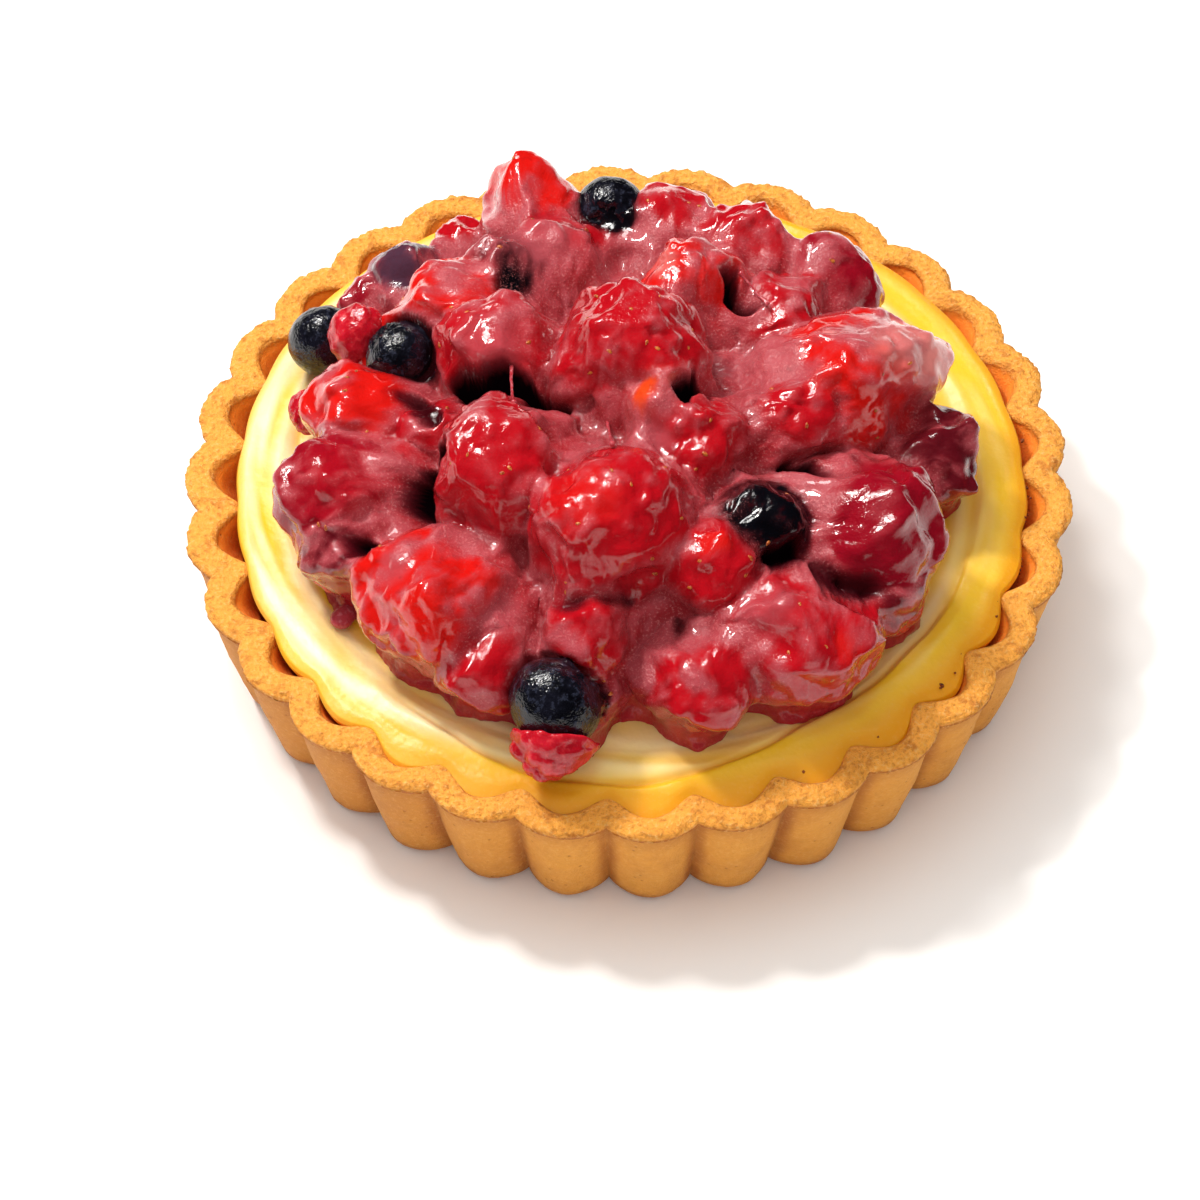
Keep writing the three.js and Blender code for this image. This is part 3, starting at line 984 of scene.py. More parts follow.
    def _drupelets(self, way: Array) -> Array:
        """A raspberry's drupelets: the highest of many small spheres set evenly in its skin.

        Args:
            way: Directions in the berry's frame.

        Returns:
            Height over the form: along each direction the furthest sphere's far side, less the form's reach.
        """
        count = int(4.6 / DRUPELET**2)
        spots = even_directions(count)
        rng = np.random.default_rng(self.seed)
        spots = unit(spots + rng.normal(scale=0.05, size=spots.shape))
        inset = 0.80 * self.kind.form.reach(1.0, spots)
        flat = way.reshape(-1, 3)
        toward = (flat @ spots.T) * inset
        under = (DRUPELET * rng.uniform(0.85, 1.12, count)) ** 2 - inset**2 + toward**2
        far = np.where(under > 0, toward + np.sqrt(np.maximum(under, 0)), 0.0).max(1)
        form = self.kind.form.reach(1.0, flat)
        depth = 1.0 if self.film < -0.3 else 0.6
        return (self.size * depth * (np.maximum(far, 0.84 * form) - form)).reshape(way.shape[:-1])

    def _cuts(self, way: Array) -> Array:
        """Flat cut faces: the form is trimmed by a few random planes close under its skin.

        Args:
            way: Directions in the berry's frame.

        Returns:
            Height over the form, none or below it.
        """
        rng = np.random.default_rng(self.seed)
        form = self.kind.form.reach(self.size, way)
        trimmed = form
        for normal in unit(rng.normal(size=(CUT_FACES, 3))):
            plane = CUT_SHARE * self.kind.form.reach(self.size, normal) / np.maximum(way @ normal, 0.05)
            trimmed = run_together(trimmed, plane, CUT_ROUNDING)
        return trimmed - form

    def _pits(self, way: Array) -> Array:
        """A strawberry's seed pits: small dents spread evenly over it.

        Args:
            way: Directions in the berry's frame.

        Returns:
            Height: a narrow hump downwards at each pit.
        """
        spots = even_directions(int(1.4 * self.size**2))
        apart = np.arccos(np.clip(way.reshape(-1, 3) @ spots.T, -1, 1)).min(1) * self.size
        return (-PIT_DEPTH * hump(apart, 0.0, PIT_WIDTH)).reshape(way.shape[:-1])

    def outside(self, points: Array) -> Array:
        """Distance of points from the skin, seen from the berry's heart.

        Args:
            points: n by 3.

        Returns:
            Distance from the heart less the reach in that direction, between the grid's four nearest.
        """
        own = (points - self.heart) @ self.spin
        away = np.linalg.norm(own, axis=-1)
        row = (np.arcsin(np.clip(own[:, 2] / np.maximum(away, 1e-6), -1, 1)) / np.pi + 0.5) * self.rows
        side = np.arctan2(own[:, 1], own[:, 0]) / (2.0 * np.pi) * self.sides
        row0 = np.clip(np.floor(row).astype(int), 0, self.rows - 1)
        side0 = np.floor(side).astype(int)
        r, s = row - row0, side - side0
        a, b = side0 % self.sides, (side0 + 1) % self.sides
        near = self.reaches[row0, a] * (1 - s) + self.reaches[row0, b] * s
        far = self.reaches[row0 + 1, a] * (1 - s) + self.reaches[row0 + 1, b] * s
        return away - (near * (1 - r) + far * r)

    def skin(self) -> Skin:
        """The berry's surface: heart plus each direction times its reach, drawn in where the glaze covers it.

        Returns:
            The skin, with every second row and side where the glaze is thick enough to hide the rest.
        """
        step = 1 if self.film < -0.1 else 2
        out = (self.ways @ self.spin.T).reshape(-1, 3)
        points = self.heart + out * self.reaches.reshape(-1, 1)
        if self.film >= BARE_FILM:
            drawn_in = 0.7 + 1.4 * sunk(points, 1.4)
            points = self.heart + out * np.maximum(self.reaches.ravel() - drawn_in, 0.4)[:, None]
            points += drift(points)
            points[:, 2] = np.minimum(points[:, 2], HEAP_TOP - 0.2)
        points = points.reshape(*self.reaches.shape, 3)
        return ring_skin(points[step:-step:step, ::step], points[0].mean(0), points[-1].mean(0))


# For each kind: place, x, y, size, lift, turn, lean, film, tone, and whether it is pressed.
BERRY_TABLE: dict[Kind, tuple[tuple, ...]] = {
    Kind.BLUEBERRY: (
        ("front", -9.5, -44, 6.2, 1.5, 40, 60, -0.7, Tone.INK),
        ("right", 17, -20.5, 6, -0.5, 200, 30, -0.15, Tone.INK),
        ("left", -30.5, 9.5, 4.7, 1, 150, 50, -0.5, Tone.INK),
        ("far_left", -40, 20, 5, 2, 100, 80, -0.6, Tone.INK),
        ("back_left", -29, 30, 4.4, 1, 20, 40, -0.1, Tone.DUSK),
        ("upper", -15.5, 24, 4.6, 1.5, 300, 35, 0.2, Tone.INK),
        ("back", -2, 38, 4.8, 2.5, 260, 50, -0.4, Tone.INK),
    ),
    Kind.RASPBERRY: (
        ("front", -9.2, -48.8, 5.2, -3, 0, 70, -0.5, Tone.SCARLET, True),
        ("far_left", -35.5, 16, 4, 3, 60, 40, -0.4, Tone.SCARLET, True),
        ("left_edge", -42.5, 8, 2.6, -1, 90, 80, -0.4, Tone.CRIMSON, True),
        ("left_inner", -26.5, -2, 3.6, -1, 30, 20, 0.0, Tone.CRIMSON),
        ("left", -38.5, -11, 7, 2, 240, 70, 0.1, Tone.RUBY),
        ("left_front", -36.5, -19, 5.4, -1, 320, 60, 0.25, Tone.MAROON, True),
        ("back_edge", -23, 39, 3.6, 1, 200, 60, -0.2, Tone.CRIMSON),
        ("back_left", -36, 28, 3.4, 2, 30, 50, 0.2, Tone.RUBY),
        ("centre", 0.5, 5.5, 9, 2, 170, 25, 0.15, Tone.CRIMSON),
        ("back", 16, 32, 6, 1, 140, 50, 0.25, Tone.CRIMSON),
        ("back_right", 27.5, 27, 5.6, 1, 120, 40, 0.2, Tone.RUBY),
        ("right_edge", 41, -2.5, 5.6, -1, 80, 75, 0.1, Tone.MAROON),
        ("right", 32.5, -18.5, 8.2, 1, 60, 65, 0.0, Tone.RUBY),
        # Its maroon tone is painted shade beneath raspberry_right.
        ("right_under", 34, -25, 5.4, -3, 45, 80, 0.2, Tone.MAROON, True),
    ),
    Kind.TIP: (
        ("back", -13, 40, 5.4, 8, 130, 10, -0.2, Tone.SCARLET),
    ),
    Kind.STRAWBERRY: (
        ("centre", -4.5, -23.5, 8.8, 3, 200, 70, 0.05, Tone.CRIMSON),
        ("centre_left", -17, -12.5, 7.6, 3, 110, 60, 0.05, Tone.CRIMSON),
    ),
    Kind.PIECE: (
        ("upper_left", -23, 18.5, 6.8, 1, 25, 15, 0.25, Tone.SCARLET, True),
        ("left", -36, 2.5, 5.4, 1, 140, 20, 0.2, Tone.SCARLET),
        ("slip", 5.5, -4, 3.4, 2, 70, 60, -0.1, Tone.ORANGE, True),
        ("back", 9, 20, 6.6, 0.5, 10, 25, 0.25, Tone.SCARLET),
        ("ridge", 6.5, 37, 5, 2, 40, 20, 0.3, Tone.CRIMSON, True),
        ("right", 29, 4.5, 8.2, 2, 110, 20, 0.25, Tone.SCARLET),
        ("right_cut", 35.5, 9, 6, 4, 60, 35, 0.1, Tone.BLUSH, True),
        ("right_bit", 23, -3.5, 4.2, 2.5, 45, 30, 0.25, Tone.CRIMSON, True),
        ("back_right", 21.5, 17, 5, 0, 80, 20, 0.25, Tone.CRIMSON),
        ("front_right", 23, -35.5, 8, 2, 25, 15, 0.2, Tone.CRIMSON),
        ("front_bit", 9, -43, 5.2, 1, 150, 25, 0.2, Tone.CRIMSON),
        ("chip", 10, -27, 4.8, 1, 100, 30, 0.05, Tone.CRIMSON, True),
        ("centre_right", 9.5, -8, 5.4, 0.5, 30, 35, 0.25, Tone.CRIMSON),
        ("front_left", -26, -29.5, 8, 1, 130, 20, 0.2, Tone.SCARLET),
        ("front_middle", -5.5, -35.5, 4.4, 0, 90, 40, 0.15, Tone.CRIMSON),
        ("left_front", -19, -38, 5.2, -1, 160, 20, 0.25, Tone.CRIMSON, True),
        ("upper", -9, 30.5, 5.6, 0, 60, 20, 0.3, Tone.CRIMSON, True),
        ("middle_left", -16.5, 9, 6.6, 1, 35, 20, 0.25, Tone.CRIMSON),
    ),
}


def drift(points: Array) -> Array:
    """How far soft fruit and glaze are pushed out of their plain forms, which a smooth random field gives.

    Args:
        points: In the heap, n by 3.

    Returns:
        The shift at each point: three fields 8 mm wide, nil at the heap's foot and tip.
    """
    shift = np.stack([Noise(50 + i)(points, 8.0, 2) for i in range(3)], axis=-1)
    height = points[:, 2]
    return 1.5 * shift * (smooth_step(height, 23.0, 29.0) * smooth_step(height, 50.0, 44.0))[:, None]


@dataclass(frozen=True)
class Hollow:
    """A hollow that the glaze hasn't run into, dark with painted shade: a line on its surface, the half width and
    the depth.
    """

    start: Triple
    end: Triple
    half_width: float
    depth: float

    def sunk(self, points: Array, way: Array, ragged: Array) -> Array:
        """Its depth at points, seen along their ways in: full inside its half width, nil 0.5 mm outside it.

        Args:
            points: n by 3.
            way: Unit directions outward from the heap there.
            ragged: How far its edge is moved at each point.

        Returns:
            The depth at each point.
        """
        start, run = np.array(self.start), np.array(self.end) - np.array(self.start)
        along = np.clip((points - start) @ run / (run @ run), 0.0, 1.0)
        offset = points - start - along[:, None] * run
        offset -= np.sum(offset * way, axis=1, keepdims=True) * way
        inward = self.half_width - np.linalg.norm(offset, axis=1) + ragged
        return self.depth * smooth_step(inward, -0.5, 0.6)


# Each hollow is painted near black and maroon as painted shade.
HOLLOWS = [Hollow(*row) for row in (
    ((-21.5, 2.0, 37.5), (-14.0, 1.6, 38.8), 1.2, 6.0),
    ((-12.1, 1.0, 37.4), (-9.2, -1.4, 38.0), 0.7, 4.0),
    ((-28.1, 1.8, 35.6), (-25.4, -2.6, 37.1), 1.2, 2.2),
    ((-25.5, -11.5, 38.0), (-26.8, -15.0, 36.4), 2.6, 5.0),
    ((-35.8, -21.3, 34.3), (-33.5, -21.8, 34.0), 1.0, 3.0),
    ((13.9, 18.6, 39.0), (15.2, 16.6, 38.0), 1.2, 6.0),
    ((7.2, -3.4, 42.6), (9.4, -2.0, 41.4), 1.5, 6.0),
    ((21.8, -11.0, 36.0), (24.6, -11.9, 36.6), 0.9, 4.5),
    ((28.5, -10.0, 35.2), (33.5, -9.4, 33.8), 0.7, 1.6),
    ((17.8, -26.2, 36.0), (21.2, -25.4, 36.2), 1.4, 4.5),
    ((25.0, -28.8, 36.6), (31.0, -28.6, 34.6), 1.6, 2.0),
    ((6.1, -34.2, 33.0), (6.5, -34.6, 33.0), 0.6, 2.5),
    ((-8.4, -32.6, 35.8), (0.0, -32.4, 36.0), 0.6, 1.6),
)]


def leaning(points: Array) -> Array:
    """The way out of the heap at points, which leans more and more away from its middle."""
    return unit(points * np.array([0.62, 0.62, 1.0]) - np.array([0.0, 0.0, 10.0]))


def sunk(points: Array, grown: float = 0.0) -> Array:
    """The depth of the deepest hollow at points.

    Args:
        points: On or near the heap's surface, n by 3.
        grown: How much wider the hollows are taken.

    Returns:
        The depth at each point.
    """
    way = leaning(points)
    ragged = 0.7 * Noise(8)(points, 3.0, 2) + grown
    return np.max([hollow.sunk(points, way, ragged) for hollow in HOLLOWS], axis=0)


@dataclass(frozen=True)
class Accent:
    """A patch where the glaze takes another colour: its middle, how far it reaches and how strong it is."""

    place: Triple
    reach: float
    tone: Tone
    strength: float


ACCENTS = [Accent(*row) for row in (
    ((-9.4, 36.5, 37.8), 3.0, Tone.SCARLET, 1.0),
    ((-14.5, 41.0, 44.0), 4.0, Tone.SCARLET, 0.7),
    ((-21.8, 14.0, 41.9), 2.8, Tone.SCARLET, 0.8),
    ((-36.9, 0.0, 37.5), 3.0, Tone.SCARLET, 0.8),
    ((-28.5, -7.0, 35.4), 2.2, Tone.CRIMSON, 0.8),
    ((-5.5, -24.5, 46.0), 6.5, Tone.SCARLET, 0.7),
    ((-26.0, -36.0, 38.8), 4.0, Tone.SCARLET, 1.0),
    ((27.0, -0.5, 44.5), 4.2, Tone.SCARLET, 0.9),
    ((11.3, 17.5, 42.8), 2.4, Tone.SCARLET, 0.7),
    ((5.6, -4.2, 43.8), 1.7, Tone.ORANGE, 1.0),
    ((10.0, -28.2, 41.3), 2.6, Tone.SCARLET, 0.9),
    ((27.0, -40.2, 36.2), 2.6, Tone.SCARLET, 0.7),
    ((35.5, 5.5, 41.4), 6.0, Tone.BLUSH, 0.5),
    ((-9.5, -51.5, 25.5), 5.0, Tone.SCARLET, 0.95),
    ((4.4, 19.8, 43.2), 3.0, Tone.BLUSH, 0.5),
    # Pale pink patches: cloudy sauce with painted sheen.
    ((-17.5, 5.1, 44.7), 5.5, Tone.HAZE_AND_SHEEN, 0.6),
    ((16.2, 7.2, 36.4), 5.0, Tone.HAZE_AND_SHEEN, 0.6),
    ((3.2, -9.8, 41.5), 3.4, Tone.HAZE_AND_SHEEN, 0.7),
    ((-16.5, -33.7, 34.3), 4.0, Tone.HAZE_AND_SHEEN, 0.7),
    ((18.0, -36.0, 37.5), 4.4, Tone.HAZE_AND_SHEEN, 0.6),
    ((-30.1, -28.5, 38.7), 3.0, Tone.HAZE_AND_SHEEN, 0.6),
    ((-11.4, 27.0, 39.2), 6.0, Tone.HAZE_AND_SHEEN, 0.8),
    ((-1.0, 28.0, 35.0), 4.0, Tone.HAZE_AND_SHEEN, 0.5),
    ((-37.0, -13.0, 37.5), 7.0, Tone.CRIMSON, 0.45),
    ((-30.1, 27.3, 32.2), 3.0, Tone.DUSK, 0.7),
    ((-14.7, 20.0, 39.5), 3.6, Tone.INK, 1.0),
    ((16.8, -21.5, 40.5), 6.8, Tone.INK, 0.92),
    # The blueberry's dark lower side, with painted shade in the cavity under it.
    ((19.0, -26.0, 38.0), 4.0, Tone.INK, 0.95),
    # painted highlight on the right raspberry's side
    ((38.7, -16.0, 38.9), 2.0, Tone.HAZE_AND_SHEEN, 0.3),
    # painted shade under the raspberries at the right
    ((40.0, -6.0, 34.0), 5.0, Tone.MAROON, 0.3),
    ((30.0, -28.0, 34.0), 4.5, Tone.MAROON, 0.6),
    ((-17.5, -15.5, 45.5), 6.5, Tone.CRIMSON, 0.6),
    ((33.0, -20.5, 40.5), 7.5, Tone.RUBY, 0.75),
)]


@dataclass
class Fruit:
    """All the berries and pieces of fruit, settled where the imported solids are."""

    finishes: dict[str, FruitFinish] = field(default_factory=lambda: {
        # The blueberries' blue-grey spots are their dusty bloom with painted sheen.
        "blueberry": FruitFinish("blueberry", paint("08080e"), paint("14141f"), paint("343849"), 0.13, 0.0, 0.5),
        "raspberry": FruitFinish("raspberry", paint("a60c1c"), paint("c41a2c"), paint("d03a40"), 0.12, 0.4),
        "strawberry": FruitFinish("strawberry", paint("c41418"), paint("da3a2c"), paint("e8704e"), 0.16, 0.4),
    })

    def __post_init__(self) -> None:
        """Settles and shapes every berry; the pressed ones take their form from the others."""
        self.berries = [Berry(kind, *row) for kind, rows in BERRY_TABLE.items() for row in rows]
        for berry in self.berries:
            berry.settle()
        for i, berry in enumerate(self.berries):
            berry.shape([b for j, b in enumerate(self.berries) if b is not berry and (j < i or not b.pressed)])

    def build(self) -> list[bpy.types.Object]:
        """Makes a piece for each berry, in the place of its solid.

        Returns:
            The pieces.
        """
        materials = {slot: finish.make() for slot, finish in self.finishes.items()}
        pieces = []
        for berry in self.berries:
            piece = berry.skin().piece(f"{berry.name}_dressed", materials[berry.kind.slot])
            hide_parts(berry.name)
            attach(piece, "root")
            pieces.append(piece)
        return pieces


# ---- Glaze ---------------------------------------------------------------------------------------


@dataclass
class Glaze:
    """The cloudy sauce over and between the berries, as one skin found by stepping in along rays.

    The rays start between the crown and the feet, a circle round the heap. Stand_out is how far the
    pillars of coated berries stay under their skins, film_cling and join are how far round the films,
    and they with the mound, run together, and steepest is the slope at which the sauce hangs. Swing,
    lumps and ripple are heights of its unevenness. It clouds between two thicknesses.
    """

    berries: list[Berry]
    cells: int = 308
    crown: Triple = (0.5, 4.5, 19.0)
    feet: float = 34.0
    spacing: tuple[float, float] = (0.72, 0.28)
    ray_length: float = 36.0
    stride: float = 0.75
    near_enough: float = 0.004
    stand_out: float = 1.5
    film_cling: float = 1.3
    join: float = 0.8
    steepest: float = 1.7
    drape_turns: int = 26
    even_turns: int = 2
    hang_turns: int = 38
    hang_share: float = 0.9
    swing: float = 0.6
    lumps: float = 0.4
    lump_width: float = 3.4
    ripple: float = 0.32
    foot_flare: float = 0.5
    foot_height: float = 0.7
    tuck: float = 2.5
    tuck_height: float = 7.5
    tone_reach: float = 0.45
    clouding: tuple[float, float] = (0.2, 1.7)
    # Direction of the key light: glaze that faces it gets painted sheen.
    sheen_side: Triple = (-0.45, 0.1, 0.85)
    haze_and_sheen_most: float = 0.7
    crevice_turns: int = 60
    syrup_heights: tuple[float, float] = (27.5, 23.5)
    smooth: float = 0.14
    surface: tuple = field(init=False, default=())

    def mound(self, points: Array) -> Array:
        """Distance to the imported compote's own form: a mound and a rounded pillar under each berry, run together.

        Args:
            points: n by 3.

        Returns:
            -CLING times the log of the sum of exp(-distance / CLING) over the mound and the pillars.
        """
        scaled = np.linalg.norm((points - HEAP_CENTRE) / BED, axis=-1)
        total = np.exp(-(scaled - 1.0) * BED.min() / CLING)
        for berry in self.berries:
            offset = points - berry.centre
            offset[:, 2] = np.maximum(0.0, offset[:, 2])
            bare = BARE + 3.0 * berry.bareness if berry.film < BARE_FILM else self.stand_out
            total += np.exp(-(np.linalg.norm(offset, axis=-1) - berry.size + bare) / CLING)
        return -CLING * np.log(total)

    def films(self, points: Array) -> Array:
        """Distance to the film over the coated berries: each skin grown by its film, run together.

        Args:
            points: n by 3.

        Returns:
            -film_cling times the log of the sum of exp(-distance / film_cling).
        """
        total = np.full(len(points), 1e-9)
        for berry in self.berries:
            near = berry.near(points, 1.4, 6.0)
            if berry.film >= BARE_FILM and near.size:
                away = berry.outside(points[near]) - berry.film
                total[near] += np.exp(-np.minimum(away, 12.0) / self.film_cling)
        return -self.film_cling * np.log(total)

    def distance(self, points: Array) -> Array:
        """Distance to the glaze, negative inside it: mound and films run together."""
        return run_together(self.mound(points), self.films(points), self.join)

    def rays(self) -> tuple[Array, Array]:
        """Rays that lean out more and more from the top of the heap to its foot, on a square grid.

        A square's rings are laid on circles: a ring's number, from 0 to 1, times the spacing's first
        share and its square times the second give how far out a ray starts, and the place along the
        ring is its direction round the heap.

        Returns:
            Starts and unit directions, (cells + 1) squared by 3.
        """
        across = np.linspace(-1.0, 1.0, self.cells + 1)
        a, b = np.meshgrid(across, across, indexing="ij")
        wide = np.abs(a) > np.abs(b)
        ring = np.maximum(np.abs(a), np.abs(b))
        safe_a, safe_b = np.where(a == 0, 1e-9, a), np.where(b == 0, 1e-9, b)
        around = np.where(wide, np.pi / 4 * b / safe_a + np.where(a < 0, np.pi, 0),
                          np.pi / 2 - np.pi / 4 * a / safe_b + np.where(b < 0, np.pi, 0))
        out = (ring * (self.spacing[0] + self.spacing[1] * ring)).ravel()[:, None]
        flat = round_axis(1.0, around, 0.0).reshape(-1, 3)
        lean = 0.5 * np.pi * out
        start = np.array(self.crown) * (1 - out) + HEAP_CENTRE * out + flat * self.feet * out
        return start, np.sin(lean) * flat + np.cos(lean) * UP

    def trace(self, start: Array, way: Array) -> Array:
        """Steps in along each ray by a stride's share of the distance to the glaze, until it is nil.

        Args:
            start: Ray starts.
            way: Ray directions.

        Returns:
            Each ray's length.
        """
        along, alive = np.full(len(start), self.ray_length), np.arange(len(start))
        for _ in range(48):
            points = start[alive] + way[alive] * along[alive, None]
            gap = self.distance(points)
            along[alive] -= self.stride * gap
            alive = alive[np.abs(gap) > self.near_enough]
            if not alive.size:
                break
        return along

    def draped(self, start: Array, way: Array, along: Array) -> Array:
        """Raises the surface where it falls away too steeply for a thick sauce.

        Each ray's length becomes the greatest of its own and its neighbours' less the steepest slope
        times the way between them, over and over. The surface is then averaged with its neighbours, a
        few times all over and many times where that filled it, so that it hangs smoothly.

        Args:
            start: Ray starts.
            way: Ray directions.
            along: Ray lengths.

        Returns:
            The new lengths.
        """
        side = self.cells + 1
        length = along.reshape(side, side)
        before = length.copy()
        places = (start + way * 20.0).reshape(side, side, 3)
        for _ in range(self.drape_turns):
            for grid, spots in ((length, places), (length.T, places.swapaxes(0, 1))):
                fall = np.linalg.norm(np.diff(spots, axis=0), axis=-1) * self.steepest
                grid[:-1] = np.maximum(grid[:-1], grid[1:] - fall)
                grid[1:] = np.maximum(grid[1:], grid[:-1] - fall)
        filled = smooth_step(length - before, 0.02, 0.5)[1:-1, 1:-1]
        for least in [0.5] * self.even_turns + [0.0] * self.hang_turns:
            share = least + (self.hang_share - least) * filled
            length[1:-1, 1:-1] += share * (four_mean(length) - length[1:-1, 1:-1])
        return length.ravel()

    def evened(self, values: Array, turns: int) -> Array:
        """Evens values on the grid: each inner one takes its four neighbours' mean.

        Args:
            values: One or more for each corner.
            turns: How often.

        Returns:
            The evened values, in the same shape.
        """
        side = self.cells + 1
        mean = values.reshape(side, side, -1).copy()
        for _ in range(turns):
            mean[1:-1, 1:-1] = four_mean(mean)
        return mean.reshape(values.shape)

    def facing(self, points: Array) -> Array:
        """Unit normals of the grid: along its rows crossed with along its columns."""
        grid = points.reshape(self.cells + 1, self.cells + 1, 3)
        return unit(np.cross(np.gradient(grid, axis=0), np.gradient(grid, axis=1))).reshape(-1, 3)

    def uneven(self, points: Array) -> Array:
        """Moves the surface along its normals: swells, rounded lumps and ripples, from random fields.

        Args:
            points: On the surface.

        Returns:
            The points, moved.
        """
        warped = points + 0.8 * np.stack([Noise(40 + i)(points, 3.0) for i in range(3)], axis=-1)
        swell = self.swing * Noise(5)(points, 5.0, 2) + self.lumps * (pebbles(warped, self.lump_width, 6) - 0.4)
        fine = self.ripple * Noise(7)(points, 1.9, 2) + 0.07 * Noise(14)(points, 0.9)
        return points + self.facing(points) * (swell + fine)[:, None]

    def footed(self, points: Array) -> Array:
        """Spreads the surface where it meets the custard, and draws it in under the berries above.

        Args:
            points: On the surface.

        Returns:
            The points, moved out by foot_flare, which is uneven, times exp(-height / foot_height), and
            in by tuck, full up to 1 mm over the custard and nil from tuck_height.
        """
        flat = points * np.array([1.0, 1.0, 0.0])
        lies = np.maximum(points[:, 2] - custard_top(np.linalg.norm(flat, axis=1)), 0.0)
        flare = self.foot_flare * (1.0 + 0.8 * Noise(9)(points, 4.0, 2)) * np.exp(-lies / self.foot_height)
        flare -= self.tuck * smooth_step(lies, self.tuck_height, 1.0)
        return points + unit(flat) * flare[:, None]

    def uncovered(self, points: Array, way: Array) -> Array:
        """Draws the surface in along its rays where it lies thinly over a bare berry.

        Args:
            points: On the surface.
            way: Ray directions.

        Returns:
            The points, each moved in by how much less than the berry's margin it stands out from it.
        """
        for berry in self.berries:
            margin = 4.0 * berry.bareness
            if margin > 0.0:
                near = berry.near(points, 1.5, 4.0)
                inward = np.clip(margin - berry.outside(points[near]), 0.0, 1.2)
                points[near] -= way[near] * inward[:, None]
        return points

    def faces(self) -> list[list[int]]:
        """Lists the skin's faces.

        Returns:
            Quads between the grid's corners, and triangles from its edge to one corner under the heap.
        """
        side = self.cells + 1
        count = np.arange(self.cells)
        row, column = np.meshgrid(count, count, indexing="ij")
        corner = row * side + column
        quads = np.stack([corner, corner + side, corner + side + 1, corner + 1], axis=-1).reshape(-1, 4)
        edge = np.concatenate([count * side, self.cells * side + count,
                               (count + 1)[::-1] * side + self.cells, (count + 1)[::-1]])
        under = np.stack([np.roll(edge, -1), edge, np.full(len(edge), side * side)], axis=-1)
        return quads.tolist() + under.tolist()

    def skin(self) -> Skin:
        """Traces the surface, drapes it, makes it uneven, shapes its foot and carves the hollows.

        Returns:
            The glaze's skin. Its values are tint, its colour with painted sheen and shade, veil, how thick and
            grainy it is, rough, its roughness, and pit_shade, 1 in a hollow, where it is painted near black as
            shade.
        """
        start, way = self.rays()
        along = self.draped(start, way, self.trace(start, way))
        points = self.uncovered(self.footed(self.uneven(start + way * along[:, None])), way)
        depth = self.evened(sunk(points), 2)
        tint, veil, rough = self.notes(points, self.facing(points), depth)
        points = points - leaning(points) * depth[:, None] + drift(points)
        points[:, 2] = np.minimum(points[:, 2], HEAP_TOP)
        self.surface = (points, self.facing(points), (1.0 - veil) * (depth < 0.2))
        # painted shade: pit_shade turns the deep hollows near black in the material
        pit_shade = smooth_step(depth, 0.5, 3.0)
        values = {"tint": np.concatenate([tint, tint[:1]]), "veil": np.append(veil, 0.0),
                  "rough": np.append(rough, 0.3), "pit_shade": np.append(pit_shade, 0.0)}
        return Skin(np.concatenate([points, [HEAP_CENTRE - 3.0 * UP]]), self.faces(), values)

    def crevices(self, points: Array, normals: Array, turns: int) -> Array:
        """How far points lie under their surroundings: the surface averaged over turns, less itself.

        Args:
            points: On the surface's grid.
            normals: Outward there.
            turns: How often each point takes its neighbours' mean.

        Returns:
            The distance, above 0 in crevices and below it on humps.
        """
        return np.sum((self.evened(points, turns) - points) * normals, axis=1)

    def fruit_under(self, points: Array) -> tuple[Array, Array]:
        """Distance to the nearest berry, and the mean of the tones, each by exp(-distance / tone_reach).

        Args:
            points: On the surface.

        Returns:
            The distance, 9 at most, and three light values for each point.
        """
        nearest = np.full(len(points), 9.0)
        total = np.full(len(points), 1e-6)
        fruit = np.tile(np.array(Tone.SAUCE.value[:3]) * 1e-6, (len(points), 1))
        for berry in self.berries:
            near = berry.near(points, 1.4, 5.0)
            away = berry.outside(points[near])
            nearest[near] = np.minimum(nearest[near], away)
            weight = np.exp(-np.clip(away, 0.0, 9.0) / self.tone_reach)
            total[near] += weight
            fruit[near] += weight[:, None] * np.array(berry.tone.value[:3])
        return nearest, fruit / total[:, None]

    def notes(self, points: Array, normals: Array, depth: Array) -> tuple[Array, Array, Array]:
        """Colour, veil and roughness, from what lies under the glaze, how thick it is and how it faces.

        Thin glaze takes the fruit's tone. It clouds between two thicknesses, and then goes from sauce to
        rose, is paler with painted sheen on the side that faces the key light, and takes maroon as painted
        shade in crevices and low in the heap. The accents lie over that, some of them painted sheen and some
        painted shade, then syrup, at the foot and on steep sides, and maroon as painted shade in the hollows.

        Args:
            points: On the surface.
            normals: Outward there.
            depth: Of the hollows there.

        Returns:
            Tint, three light values for each point, veil, 0 where it is clear to 1 where it is cloudy,
            and roughness.
        """
        nearest, fruit = self.fruit_under(points)
        broad, middle, small = Noise(11)(points, 6.0, 2), Noise(12)(points, 2.4, 2), Noise(13)(points, 0.9, 2)
        below = heap_level(points[:, 0], points[:, 1]) - points[:, 2]
        low = smooth_step(below + broad, -1.0, 4.5) * smooth_step(points[:, 2], 22.0, 27.0)
